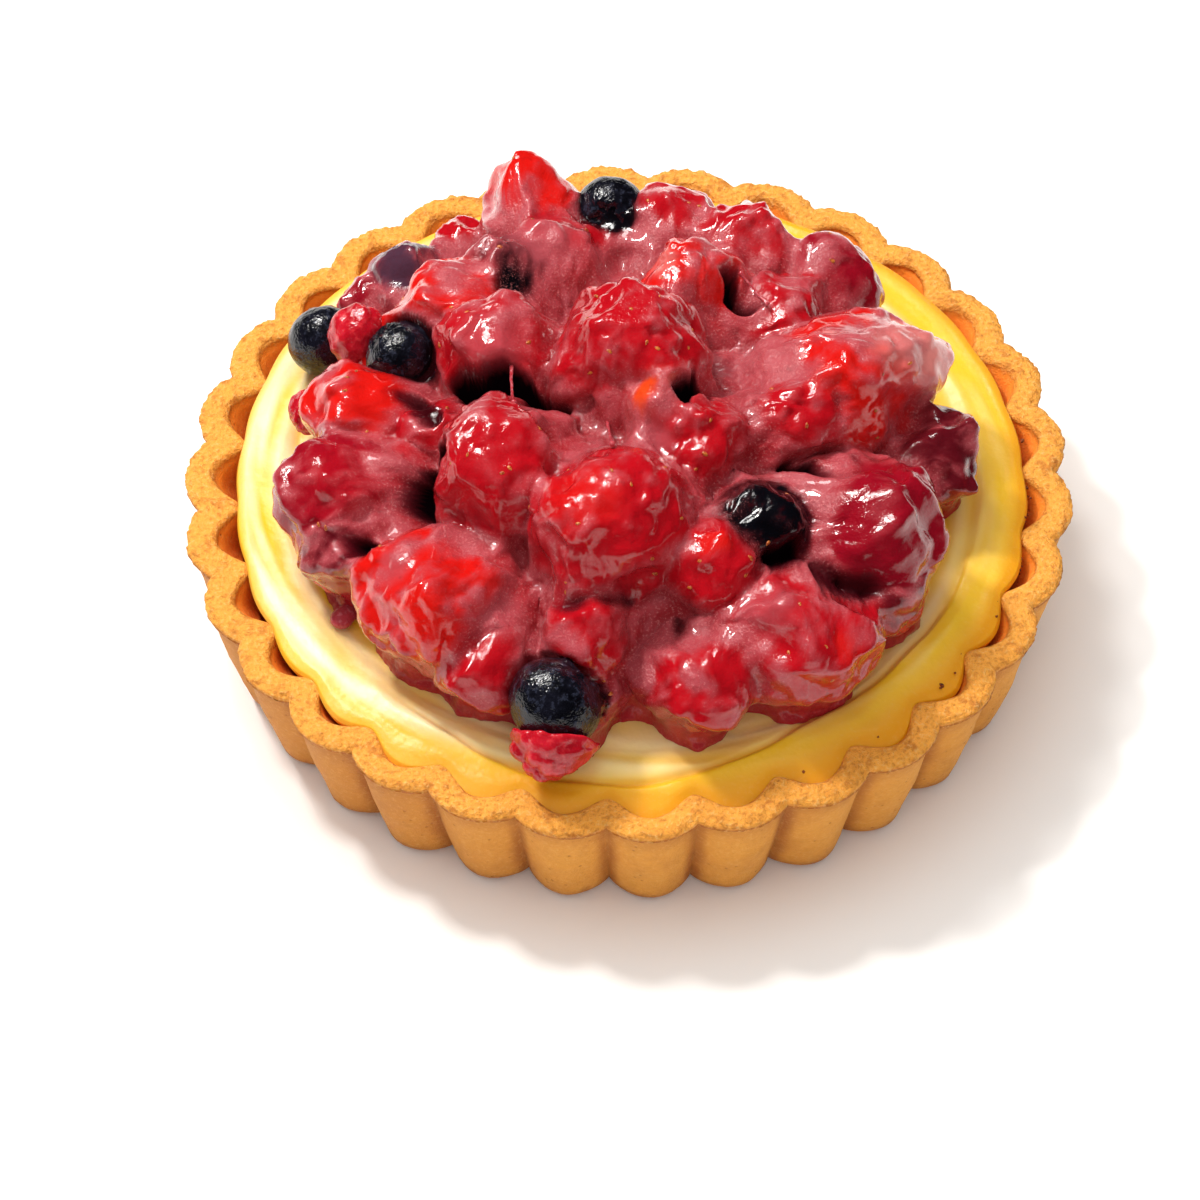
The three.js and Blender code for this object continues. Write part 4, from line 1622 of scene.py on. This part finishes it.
        # painted sheen: glaze that faces the key light is paler, in the haze and sheen colour
        sheen_facing = smooth_step(normals @ unit(np.array(self.sheen_side)), 0.35, 0.98)
        thick = nearest + 0.55 * middle + 0.25 * small + 0.35 * broad
        veil = smooth_step(thick, *self.clouding)
        crevice = self.crevices(points, normals, self.crevice_turns)
        haze_and_sheen = veil * (0.18 + 0.6 * sheen_facing + 0.4 * broad + 0.2 * middle - 0.4 * crevice)
        sauce = tinted(np.array(Tone.SAUCE.value[:3]), Tone.ROSE.value, smooth_step(middle, -0.4, 0.5))
        tint = fruit + (sauce - fruit) * (0.85 * veil)[:, None]
        tint = tinted(tint, Tone.HAZE_AND_SHEEN.value, np.clip(haze_and_sheen, 0.0, self.haze_and_sheen_most))
        # painted shade: maroon in crevices and low in the heap
        tint = tinted(tint, Tone.MAROON.value, np.maximum(0.25 * low, 0.32 * smooth_step(crevice, 0.15, 1.0)))
        for accent in ACCENTS:
            away = np.linalg.norm(points - np.array(accent.place), axis=1) + 0.8 * middle + 0.3 * small
            share = accent.strength * (1.0 - smooth_step(away, 0.35 * accent.reach, 1.15 * accent.reach))
            tint = tinted(tint, accent.tone.value, share)
            if accent.tone not in (Tone.HAZE_AND_SHEEN, Tone.INK):
                veil *= 1.0 - 0.8 * share
        foot = smooth_step(points[:, 2] + 0.6 * middle, *self.syrup_heights)
        steep = smooth_step(normals[:, 2], 0.45, 0.05) * smooth_step(points[:, 2], 35.0, 29.0)
        tint = tinted(tint, Tone.SYRUP.value, np.maximum(0.8 * foot, 0.7 * steep))
        # painted shade: maroon in the hollows
        tint = tinted(tint, Tone.MAROON.value, 0.9 * smooth_step(depth, 0.2, 1.2))
        rough = self.smooth + 0.16 * veil + 0.06 * foot + 0.1 * steep
        return tint, veil * (1.0 - smooth_step(depth, 0.5, 2.0)) * (1.0 - 0.7 * foot), rough

    def build(self) -> bpy.types.Object:
        """Makes the glaze in the place of the compote's solid.

        Returns:
            The piece.
        """
        piece = self.skin().piece("glaze", GlazeFinish().make())
        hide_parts("compote")
        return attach(piece, "root")


# ---- Shell and custard ---------------------------------------------------------------------------


def custard_profile() -> tuple[Array, Array]:
    """The custard's section: shares of its radius, from the outside in, and depths under its top."""
    return (np.array([1, 1.007, 1.003, 0.985, 0.95, 0.915, 0.885, 0.84, 0.5]),
            np.array([2.6, 1.6, 0.95, 0.5, 0.25, 0.2, 0.6, 0.3, 0]))


def custard_top(radius: Array) -> Array:
    """Height of the custard's top at a distance from the axis, straight between the section's points."""
    shares, drops = custard_profile()
    return CUSTARD_TOP - np.interp(radius / CUSTARD_RADIUS, shares[:0:-1], drops[:0:-1])


@dataclass
class Shell:
    """The fluted shortcrust shell.

    Each point of its section has a height, the radii of a valley and a crown, the power of the flutes'
    wave, and the number of rings up to the next point. It goes up the outside, over the lip and down
    inside. The hem, the lip's two edges, and where the lip and the inside begin and end are places along
    it, counted in its points.
    """

    sides: int = 960
    crumb: float = 0.27
    # Colours of the tint. Crease is partly painted shade, inside is painted light and glow is painted shade.
    wall: Colour = paint("e0983a")
    crease: Colour = paint("a9601f")
    rim: Colour = paint("f4a640")
    toasted: Colour = paint("ac5a18")
    inside: Colour = paint("ff902a")
    glow: Colour = paint("c8461a")
    hem: float = 3.6
    outer_edge: float = 4.25
    inner_edge: float = 9.2
    lip_begins: tuple[float, float] = (3.0, 3.9)
    lip_top: tuple[float, float] = (6.0, 7.4)
    lip_ends: tuple[float, float] = (9.2, 10.6)
    inside_begins: tuple[float, float] = (8.8, 10.8)
    lip_underside: float = 18.95
    # Direction of the walls that get painted shade, where the light reaches them weakly.
    shade_side: tuple[float, float] = (-0.87, -0.5)
    coarse_width: float = 0.8
    patch_width: float = 2.4
    wave_width: float = 13.0
    crumb_width: float = 0.85
    section: tuple = (
        (0.0, 48.6, 51.2, 0.8, 3), (1.2, 50.2, 53.6, 0.8, 8), (10.0, 53.2, 56.2, 0.8, 12),
        (18.9, 55.85, 58.05, 0.8, 3), (19.1, 56.6, 58.75, 0.8, 5), (19.9, 56.65, 58.8, 0.8, 3),
        (20.3, 56.05, 58.3, 0.85, 3), (20.48, 55.2, 57.5, 0.9, 8), (20.42, 52.8, 55.95, 0.95, 2),
        (20.1, 52.1, 55.5, 0.95, 2), (19.5, 51.6, 54.95, 0.95, 3), (18.6, 51.4, 54.3, 0.95, 3),
        (17.4, 51.3, 53.6, 0.95, 3), (16.2, 51.2, 52.7, 0.95, 3), (15.0, 51.0, 51.7, 0.95, 3),
        (FLOOR, 50.9, 51.2, 0.95, 1),
    )

    def rings(self) -> tuple[Array, Array, Array]:
        """The section's points with straight steps between them, each carried round the flutes.

        Returns:
            Ring corners, rings by sides by 3, each corner's wave, and each ring's place along the
            section, in sections.
        """
        rows, place = [], []
        for number, (here, onward) in enumerate(zip(self.section[:-1], self.section[1:])):
            share = np.arange(here[4])[:, None] / here[4]
            rows.append(np.array(here[:4]) * (1 - share) + np.array(onward[:4]) * share)
            place.append(number + share[:, 0])
        height, valley, crown, power = np.concatenate([*rows, [self.section[-1][:4]]]).T[:, :, None]
        angle = FIRST_VALLEY + 2 * np.pi * np.arange(self.sides) / self.sides
        place = np.append(np.concatenate(place), len(self.section) - 1.0)
        inner = smooth_step(place, 7.0, 8.0)[:, None]
        wave = flute_wave(angle[None, :], power, 0.3 * inner)
        radius = valley + (crown - valley) * wave
        radius -= (1.0 - 0.45 * wave) * drawn_in(angle) * inner
        return round_axis(radius, angle, height), wave, place

    def build(self) -> bpy.types.Object:
        """Makes the shell in the place of its solid.

        Its walls wave by up to a few tenths of a millimetre, its lip has crumbs, and the hem under the
        lip is ragged. The wall's colour takes each colour below in turn by its share. Some of it is painted
        light and shade: the crease colour in the flute valleys, on the weakly lit side and just under the lip
        is painted shade, the dark line under the lip is toasted crust with painted shadow, the bright inside
        is painted light thrown in by the custard, and the glow colour low inside is painted shade.

        Returns:
            The piece. Its values are tint, its colour, and lip, 0 to 1.
        """
        corners, wave, place = self.rings()
        flat = corners.reshape(-1, 3)
        out = unit(flat * np.array([1.0, 1.0, 0.0]))
        along = np.repeat(place[:, None], self.sides, 1).ravel()
        crown = wave.ravel()
        outer_lip = smooth_step(along, *self.lip_begins)
        band = outer_lip * (1 - smooth_step(along, *self.lip_ends))
        outer_band = outer_lip * (1 - smooth_step(along, *self.lip_top))
        inner = smooth_step(along, *self.inside_begins)
        noise = Noise(21)
        coarse, mid, broad = (noise(flat, w, 2) for w in (self.coarse_width, self.patch_width, self.wave_width))
        waviness = (along > 0.4) * (broad * 0.25 - 0.08 + coarse * 0.04 + mid * 0.06)
        push = np.minimum(0.1, waviness) * (1 - 0.5 * band)
        crumbs = pebbles(flat, self.crumb_width, 3) * 0.9 + coarse * 0.7 + mid * 0.7 - 1.1
        crumbed = self.crumb * crumbs * (0.55 * band + 0.45 * outer_band)
        facing = np.where(inner > 0.5, -1.0, 1.0)
        flat = flat + out * (push * facing + crumbed * facing)[:, None]
        flat[:, 2] += crumbed * 0.8 + hump(along, self.hem, 0.8) * (0.28 * mid + 0.16 * coarse)
        flat[:, 2] = np.clip(flat[:, 2], 0.0, HEIGHT - 0.02)
        reach = np.linalg.norm(flat[:, :2], axis=1)
        flat[:, :2] *= np.minimum(1.0, (RIM_REACH - 0.05) / np.maximum(reach, 1e-6))[:, None]
        height = flat[:, 2]
        # painted shade: walls that face shade_side are darkened with the crease colour
        shaded_side = smooth_step(unit(flat[:, :2]) @ np.array(self.shade_side), 0.55, 1.0)
        # A dark line under the lip: toasted crust with painted shadow of the lip's overhang.
        under_lip = hump(height + 0.2 * mid, self.lip_underside, 0.36) * (along < 4.6)
        tint = np.tile(np.array(self.wall[:3]), (len(flat), 1))
        for colour, share in (
            # painted shade in the flute valleys, with random blotches of tone from mid and broad
            (self.crease, 0.75 * (1 - smooth_step(crown, 0.15, 0.6)) * (1 - band) + 0.2 * mid + 0.25 * broad),
            (self.crease, 0.9 * (1 - smooth_step(height + 0.8 * mid, 0.3, 2.6)) * (1 - inner)),
            # painted shade on the weakly lit side of the wall
            (self.crease, 0.45 * shaded_side * (1 - inner)),
            (self.rim, band),
            (self.toasted, 0.6 * band * smooth_step(0.6 * mid + coarse, 0.1, 0.8)),
            (self.toasted, (0.45 + 0.5 * mid + 0.4 * coarse) * hump(along, self.outer_edge, 0.5)),
            # toasted crust and painted shadow under the lip
            (self.toasted, (0.9 + 0.4 * coarse) * under_lip),
            # painted shade on the wall just under the lip
            (self.crease, 0.35 * smooth_step(height, 14.5, 18.6) * (along < 3.0)),
            (self.toasted, 0.2 * outer_band * smooth_step(coarse, -0.2, 0.5)),
            # painted light: the inside's bright orange stands in for light thrown in by the custard
            (self.inside, inner),
            # painted shade: the glow colour darkens the inside lower down, near the custard
            (self.glow, 0.6 * inner * (1 - smooth_step(height + 0.6 * mid, 16.0, 19.6))),
            (self.crease, 0.35 * hump(along, self.inner_edge, 0.7) * crown),
        ):
            tint = tinted(tint, colour, np.clip(share, 0, 1))
        values = {"tint": tint.reshape(corners.shape), "lip": band.reshape(corners.shape[:2])}
        skin = ring_skin(flat.reshape(corners.shape), np.zeros(3), np.array([0, 0, FLOOR]), values)
        piece = skin.piece("baked_shell", CrustFinish().make())
        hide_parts("shell")
        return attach(piece, "root")


@dataclass
class Custard:
    """The custard: a smoothed ring with a soft fold between its outer and inner turns.

    The sides are directions: of the middle of the fold's seam and of the outer turn's widest spread,
    from +X, and of the fold's bulge, from -X.
    """

    glaze: Glaze
    sides: int = 600
    rings: int = 96
    fold_radius: float = 46.4
    fold_bulge: float = 4.0
    fold_side: float = 1.45
    seam_side: float = -1.31
    spread_side: float = -2.5
    foot_share: float = 0.988
    streak_turn: float = 9.0
    yellow: Colour = paint("f2c22a")
    cream: Colour = paint("f7e6b2")
    # Deep ochre, used as painted shade.
    deep: Colour = paint("e69808")
    stained: Colour = paint("d4661c")
    swelling: tuple = (1.0, 1.0, 0.9, 0.6, 0.2, 0, 0, 0, 0)

    def section(self) -> list[Array]:
        """The section with straight steps between its points, then evened out four times.

        Returns:
            Columns with a row for each ring: shares of the radius, depths under the top, and shares of
            the swell, which isn't evened.
        """
        shares, drops = custard_profile()
        along = np.concatenate([np.linspace(0, 1, 6)[:-1], 1 + 7 * np.linspace(0, 1, self.rings) ** 1.2])
        columns = [np.interp(along, np.arange(9), row)[:, None] for row in (shares, drops, self.swelling)]
        for _ in range(4):
            for column in columns[:2]:
                column[1:-1] = (column[:-2] + column[2:] + 2 * column[1:-1]) / 4
        return columns

    def build(self) -> bpy.types.Object:
        """Makes the custard in the place of its solid.

        Its radius is the section's share of the full radius plus a swell into the flutes, most at the
        front. Its height is the top less the section's depth and a slope down to the swollen edge, and
        inside the edge it has lumps, streaks and a step across the fold. Streaks run round the tart,
        because their noise is taken with the ring wound on a narrow tube, streak_turn in radius.

        Returns:
            The piece. Its value is tint, its colour, with painted light on the left and painted shade at the
            outer edge, on the sides and in the crease.
        """
        angle = (FIRST_VALLEY + 2 * np.pi * np.arange(self.sides) / self.sides)[None, :]
        share, drop, swells = self.section()
        uneven = 0.1 * np.sin(3 * angle + 0.6) + 0.05 * np.sin(7 * angle + 2.1)
        full = CUSTARD_RADIUS + uneven - drawn_in(angle)
        front = np.maximum(0.0, np.cos(angle - SWELL_SIDE))
        left_front = np.maximum(0.0, np.cos(angle - self.spread_side)) ** 4
        swell = (CUSTARD_SWELL + 0.6) * (0.08 + 0.92 * front**2) * flute_wave(angle, 0.95, 0.3) * swells
        spread = (0.7 + 0.4 * front + 0.7 * left_front) * np.minimum(1.0, 2.0 * swells)
        radius = share * full + spread + swell
        flat = round_axis(radius, angle, 0.0).reshape(-1, 3)
        turned = round_axis(self.streak_turn, angle, 0.9 * radius + 1.6 * np.sin(2 * angle)).reshape(-1, 3)
        streak, swirl = Noise(33)(turned, (6.0, 6.0, 2.6), 2), Noise(34)(turned, (2.6, 2.6, 3.4), 2)
        fold = self.fold_radius + self.fold_bulge * hump((angle + math.pi) % (2 * math.pi), self.fold_side, 0.44)
        off = (radius - fold).ravel() + 0.7 * swirl
        ease = smooth_step(share * np.ones_like(angle), 1.0, 0.96).ravel()
        seam = smooth_step(np.cos(angle - self.seam_side + 0 * radius).ravel() + 0.1 * swirl, 0.5, 0.8)
        crease = hump(off, 0.0, 0.45) * seam
        step = 0.4 * smooth_step(off, -0.6, 0.9) * (0.3 + 0.7 * seam) - 0.45 * crease
        lumps = 0.35 * Noise(35)(flat, 9.0, 2) + 0.3 * streak + 0.15 * swirl
        slope = 1.1 * front * smooth_step(share, 0.93, 1.005) + 0.33 * swell
        height = (CUSTARD_TOP - drop - slope).ravel() + (step + lumps - 0.35) * ease
        flat[:, 2] = np.minimum(height, CUSTARD_TOP)
        # painted light: the left side, towards the key light, takes more cream and stronger streaks
        left = smooth_step(-flat[:, 0] + 0.3 * flat[:, 1], -15.0, 40.0)
        edge = smooth_step(radius.ravel() - 1.2 * left, 48.6, 50.6)
        creamy = 0.1 + 0.4 * smooth_step(off, 1.0, -1.0) * seam + 0.62 * left
        creamy = (creamy + (0.95 * streak + 0.6 * swirl) * (0.4 + 0.6 * left)) * (1.0 - 0.8 * edge)
        # painted shade: deep ochre at the outer band away from the light, on the sides and in the crease
        outer = smooth_step(radius, 49.0, 52.5).ravel() * (1.0 - left)
        shade = 0.4 * crease + 0.6 * outer + 0.3 * (1 - ease)
        tint = np.tile(np.array(self.yellow[:3]), (len(flat), 1))
        tint = tinted(tint, self.cream, np.clip(creamy, 0, 0.95))
        tint = tinted(tint, self.deep, np.clip(shade, 0, 1))
        tint = tinted(tint, self.stained, self.stain(flat, swirl)).reshape(*radius.shape, 3)
        base = round_axis(self.foot_share * full, angle, FLOOR + GAP)
        skin = ring_skin(np.concatenate([base, flat.reshape(tint.shape)]), np.array([0, 0, FLOOR + GAP]),
                         np.array([0, 0, CUSTARD_TOP - 0.3]), {"tint": np.concatenate([tint[:1], tint])})
        piece = skin.piece("set_custard", CustardFinish().make())
        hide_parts("custard")
        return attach(piece, "root")

    def stain(self, points: Array, swirl: Array) -> Array:
        """How strongly sauce colours the custard: most within half a millimetre of the glaze.

        Args:
            points: On the custard.
            swirl: A random field there, which makes the edge uneven.

        Returns:
            The share at each point.
        """
        rim_side = np.nonzero(points[:, 0] ** 2 + points[:, 1] ** 2 > 36.0**2)[0]
        gap = np.full(len(points), 9.0)
        gap[rim_side] = self.glaze.distance(points[rim_side])
        return 0.14 * (1 - smooth_step(gap + 0.5 * swirl, 0.4, 1.5))


# ---- Small things on the heap --------------------------------------------------------------------


def bead(middle: Array, up: Array, ahead: Array, size: Triple, sides: int = 7, rows: int = 4) -> Skin:
    """A pointed oval: rings whose radius is the sine of the way along, drawn to a point at one end.

    Args:
        middle: Its centre.
        up: Direction of its thickness.
        ahead: Direction of its length, about square to up.
        size: Half its length, width and thickness.
        sides: Of each ring.
        rows: Number of rings.

    Returns:
        The bead's skin.
    """
    across = unit(np.cross(up, ahead))
    ahead = np.cross(across, up)
    polar = np.linspace(-0.5 * np.pi, 0.5 * np.pi, rows + 2)[1:-1, None]
    turn = np.linspace(0.0, 2.0 * np.pi, sides, endpoint=False)[None, :]
    wide = np.cos(polar) * (1.0 - 0.3 * np.sin(polar))
    long_ = np.sin(polar) + 0 * turn
    rings = (middle + size[0] * long_[..., None] * ahead + size[1] * (wide * np.cos(turn))[..., None] * across
             + size[2] * (wide * np.sin(turn))[..., None] * up)
    return ring_skin(rings, middle - size[0] * ahead, middle + size[0] * ahead)


@dataclass
class SmallThings:
    """Seeds in the glaze, strings of sauce across the hollows, a drop of it, and crumbs of crust.

    A string has its two ends with its middle between them, and a radius. The drop has its middle, the
    way that it points, and half its length, width and thickness. Seeds lie thickest about the tip, and
    crumbs about their side, within a spread of radians.
    """

    glaze: Glaze
    seeds: int = 130
    crumbs: int = 44
    seed_size: Triple = (0.42, 0.26, 0.17)
    tip: Triple = (-13.0, 38.0, 43.0)
    crumb_side: float = -0.45
    crumb_spread: float = 0.45
    crumb_radius: float = 51.2
    strings: tuple = (
        ((-15.1, 3.4, 41.4), (-15.0, -1.5, 42.2), (-14.7, -6.5, 45.2), 0.2),
        ((-2.6, -5.0, 39.0), (-2.4, -9.0, 41.5), (-2.1, -14.5, 46.0), 0.18),
        ((15.4, 18.8, 41.0), (16.6, 17.4, 40.0), (18.2, 15.4, 39.6), 0.16),
    )
    drop: tuple = ((-36.8, -23.3, 22.5), (0.5, 0.86, 0.2), (2.4, 1.5, 1.0))
    wet: FruitFinish = FruitFinish(
        "sauce_string", paint("b0404a"), paint("a02832"), paint("d08088"), 0.14, 0.3)
    seed: SpeckFinish = SpeckFinish("seed", paint("c4702c"), paint("8c2c18"), 0.3)
    crumb: SpeckFinish = SpeckFinish("crumb", paint("9a4c1c"), paint("4e2010"), 0.8)

    def string(self, ends: tuple, radius: float) -> Skin:
        """A string of sauce: a tube on a curve through three points, thin in the middle and wide at its ends.

        Args:
            ends: One end, the middle and the other end.
            radius: In the middle.

        Returns:
            The string's skin.
        """
        first, middle, last = (np.array(end) for end in ends)
        first, last = first + 0.3 * (first - middle), last + 0.2 * (last - middle)
        share = np.linspace(0.0, 1.0, 24)[:, None]
        control = 2.0 * middle - 0.5 * (first + last)
        path = (1 - share) ** 2 * first + 2 * share * (1 - share) * control + share**2 * last
        wide = radius * (1.0 + 1.2 * np.abs(2.0 * share[:, 0] - 1.0) ** 3)
        return tube(path + 0.12 * Noise(60)(path, 1.5)[:, None], wide * (1 + 0.25 * Noise(61)(path, 0.9)), 12)

    def seed_skins(self, rng: np.random.Generator) -> list[Skin]:
        """Seeds at random in the clear glaze more than 27 mm up, six times as thick within 6 mm of the tip.

        Args:
            rng: Gives the random draws.

        Returns:
            A skin for each seed.
        """
        places, normals, clear = self.glaze.surface
        odds = clear * (places[:, 2] > 27.0)
        odds *= 1.0 + 5.0 * (np.linalg.norm(places - np.array(self.tip), axis=1) < 6.0)
        made = []
        for spot in rng.choice(len(places), self.seeds, replace=False, p=odds / odds.sum()):
            up, ahead = normals[spot], unit(rng.normal(size=3))
            size = tuple(rng.uniform(0.85, 1.15) * np.array(self.seed_size))
            made.append(bead(places[spot] - 0.08 * up, up, ahead, size))
        return made

    def crumb_skins(self, rng: np.random.Generator) -> list[Skin]:
        """Crumbs on the custard where it meets the shell, mostly at the right.

        Args:
            rng: Gives the random draws.

        Returns:
            A skin for each crumb.
        """
        made = []
        for angle in rng.normal(self.crumb_side, self.crumb_spread, self.crumbs):
            swell = CUSTARD_SWELL * 0.5 * float(flute_wave(np.array(angle), 1.1))
            out = self.crumb_radius + swell + rng.uniform(0.0, 0.5)
            middle = round_axis(out, angle, rng.uniform(19.0, 20.6))
            half = rng.uniform(0.14, 0.4)
            up, ahead = unit(rng.normal(size=3)), unit(rng.normal(size=3))
            made.append(bead(middle, up, ahead, (half, half * 0.8, half * 0.7), 5))
        return made

    def build(self) -> list[bpy.types.Object]:
        """Makes the strings with the drop, the seeds and the crumbs.

        Returns:
            A piece for each of the three.
        """
        middle, ahead, size = self.drop
        drop = bead(np.array(middle), UP, unit(np.array(ahead)), size, 28, 16)
        strings = [self.string(string[:3], string[3]) for string in self.strings]
        rng = np.random.default_rng(17)
        pieces = []
        for name, skins, finish, slot in (
            ("sauce_strings", [*strings, drop], self.wet, "compote"),
            ("seeds", self.seed_skins(rng), self.seed, "strawberry"),
            ("crumbs", self.crumb_skins(rng), self.crumb, "crust"),
        ):
            piece = joined(skins).piece(name, finish.make())
            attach(piece, "root")
            pieces.append(piece)
        return pieces


# ---- Studio --------------------------------------------------------------------------------------


@dataclass
class Studio:
    """Pale floor, soft lights and the camera."""

    distance: float = 990.5
    elevation: float = 50.03
    roll: float = 0.365
    aside: tuple[float, float] = (3.648, 14.928)
    lens: float = 225.4
    air: float = 0.36
    floor_radius: float = 1500.0
    floor_under: float = -4.0

    def camera(self) -> None:
        """Sets the camera on the middle of the rim, from the front and above."""
        el, roll = math.radians(self.elevation), math.radians(self.roll)
        look = np.array([0, math.cos(el), -math.sin(el)])
        up, right = np.array([0, math.sin(el), math.cos(el)]), np.array([1.0, 0, 0])
        across = math.cos(roll) * right - math.sin(roll) * up
        upward = math.sin(roll) * right + math.cos(roll) * up
        where = np.array([0, 0, HEIGHT]) - self.distance * look - self.aside[0] * across - self.aside[1] * upward
        data = bpy.data.cameras.new("camera")
        data.lens, data.sensor_width, data.clip_start, data.clip_end = self.lens, 36.0, 0.01, 20.0
        camera = bpy.data.objects.new("camera", data)
        frame = np.column_stack([across, upward, -look])
        camera.matrix_world = Matrix.Translation(Vector(where * MM)) @ Matrix(frame.tolist()).to_4x4()
        bpy.context.scene.collection.objects.link(camera)
        bpy.context.scene.camera = camera

    def light(self, name: str, way: Triple, away: float, size: float, power: float, colour: Triple,
              mirrored: bool = True) -> None:
        """Adds a square soft light that faces the tart.

        Args:
            name: Of the light.
            way: Direction from the tart to the light.
            away: Its distance in metres.
            size: Its side in metres.
            power: In watts.
            colour: Of the light.
            mirrored: Whether glossy surfaces reflect it.
        """
        data = bpy.data.lights.new(name, "AREA")
        data.size, data.energy, data.color = size, power, colour
        lamp = bpy.data.objects.new(name, data)
        direction = Vector(way).normalized()
        lamp.location = direction * away + Vector((0, 0, 0.02))
        lamp.rotation_euler = direction.to_track_quat("Z", "Y").to_euler()
        lamp.visible_glossy = mirrored
        bpy.context.scene.collection.objects.link(lamp)

    def floor(self) -> None:
        """Lays the pale floor: a level disc, far wider than the view."""
        turn = np.linspace(0, 2 * np.pi, 64, endpoint=False)
        rings = np.stack([round_axis(self.floor_radius, turn, height) for height in (self.floor_under, 0.0)])
        graph = Graph("floor")
        speckle = graph.noise(40.0, 2.0)
        colour = graph.blend(speckle * 0.2, paint("fbfaf8"), paint("f2f0ee"))
        material = graph.finish({"Base Color": colour, "Roughness": 0.9})
        piece = ring_skin(rings, self.floor_under * UP, np.zeros(3)).piece("floor", material)

    def build(self) -> None:
        """Sets floor, lights, air and camera."""
        self.floor()
        self.camera()
        self.light("key", (-0.46, 0.32, 0.83), 0.8, 0.1, 4.4, (1.0, 0.97, 0.93))
        self.light("window", (-0.25, 0.5, 0.83), 0.8, 0.17, 2.0, (1.0, 0.98, 0.96))
        self.light("ceiling", (-0.1, 0.05, 1.0), 1.0, 1.3, 6.5, (1.0, 0.98, 0.95), False)
        self.light("fill", (0.1, -0.85, 0.5), 1.0, 0.8, 2.0, (1.0, 0.97, 0.92), False)
        world = bpy.data.worlds.new("air")
        world.use_nodes = True
        glow = world.node_tree.nodes["Background"]
        glow.inputs["Color"].default_value, glow.inputs["Strength"].default_value = (1, 1, 1, 1), self.air
        bpy.context.scene.world = world
        world.cycles_visibility.glossy = False
        bpy.context.scene.view_settings.view_transform = "Standard"


def main() -> None:
    """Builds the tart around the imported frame, part by part, and sets the studio."""
    logging.basicConfig(level=logging.INFO, format="%(message)s")
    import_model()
    fruit = Fruit()
    glaze = Glaze(fruit.berries)
    dressed = [Shell().build(), Custard(glaze).build(), *fruit.build(), glaze.build()]
    for piece in [*dressed, *SmallThings(glaze).build()]:
        LOG.info("%s: %d faces", piece.name, len(piece.data.polygons))
    Studio().build()
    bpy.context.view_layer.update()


if __name__ == "__main__":
    main()
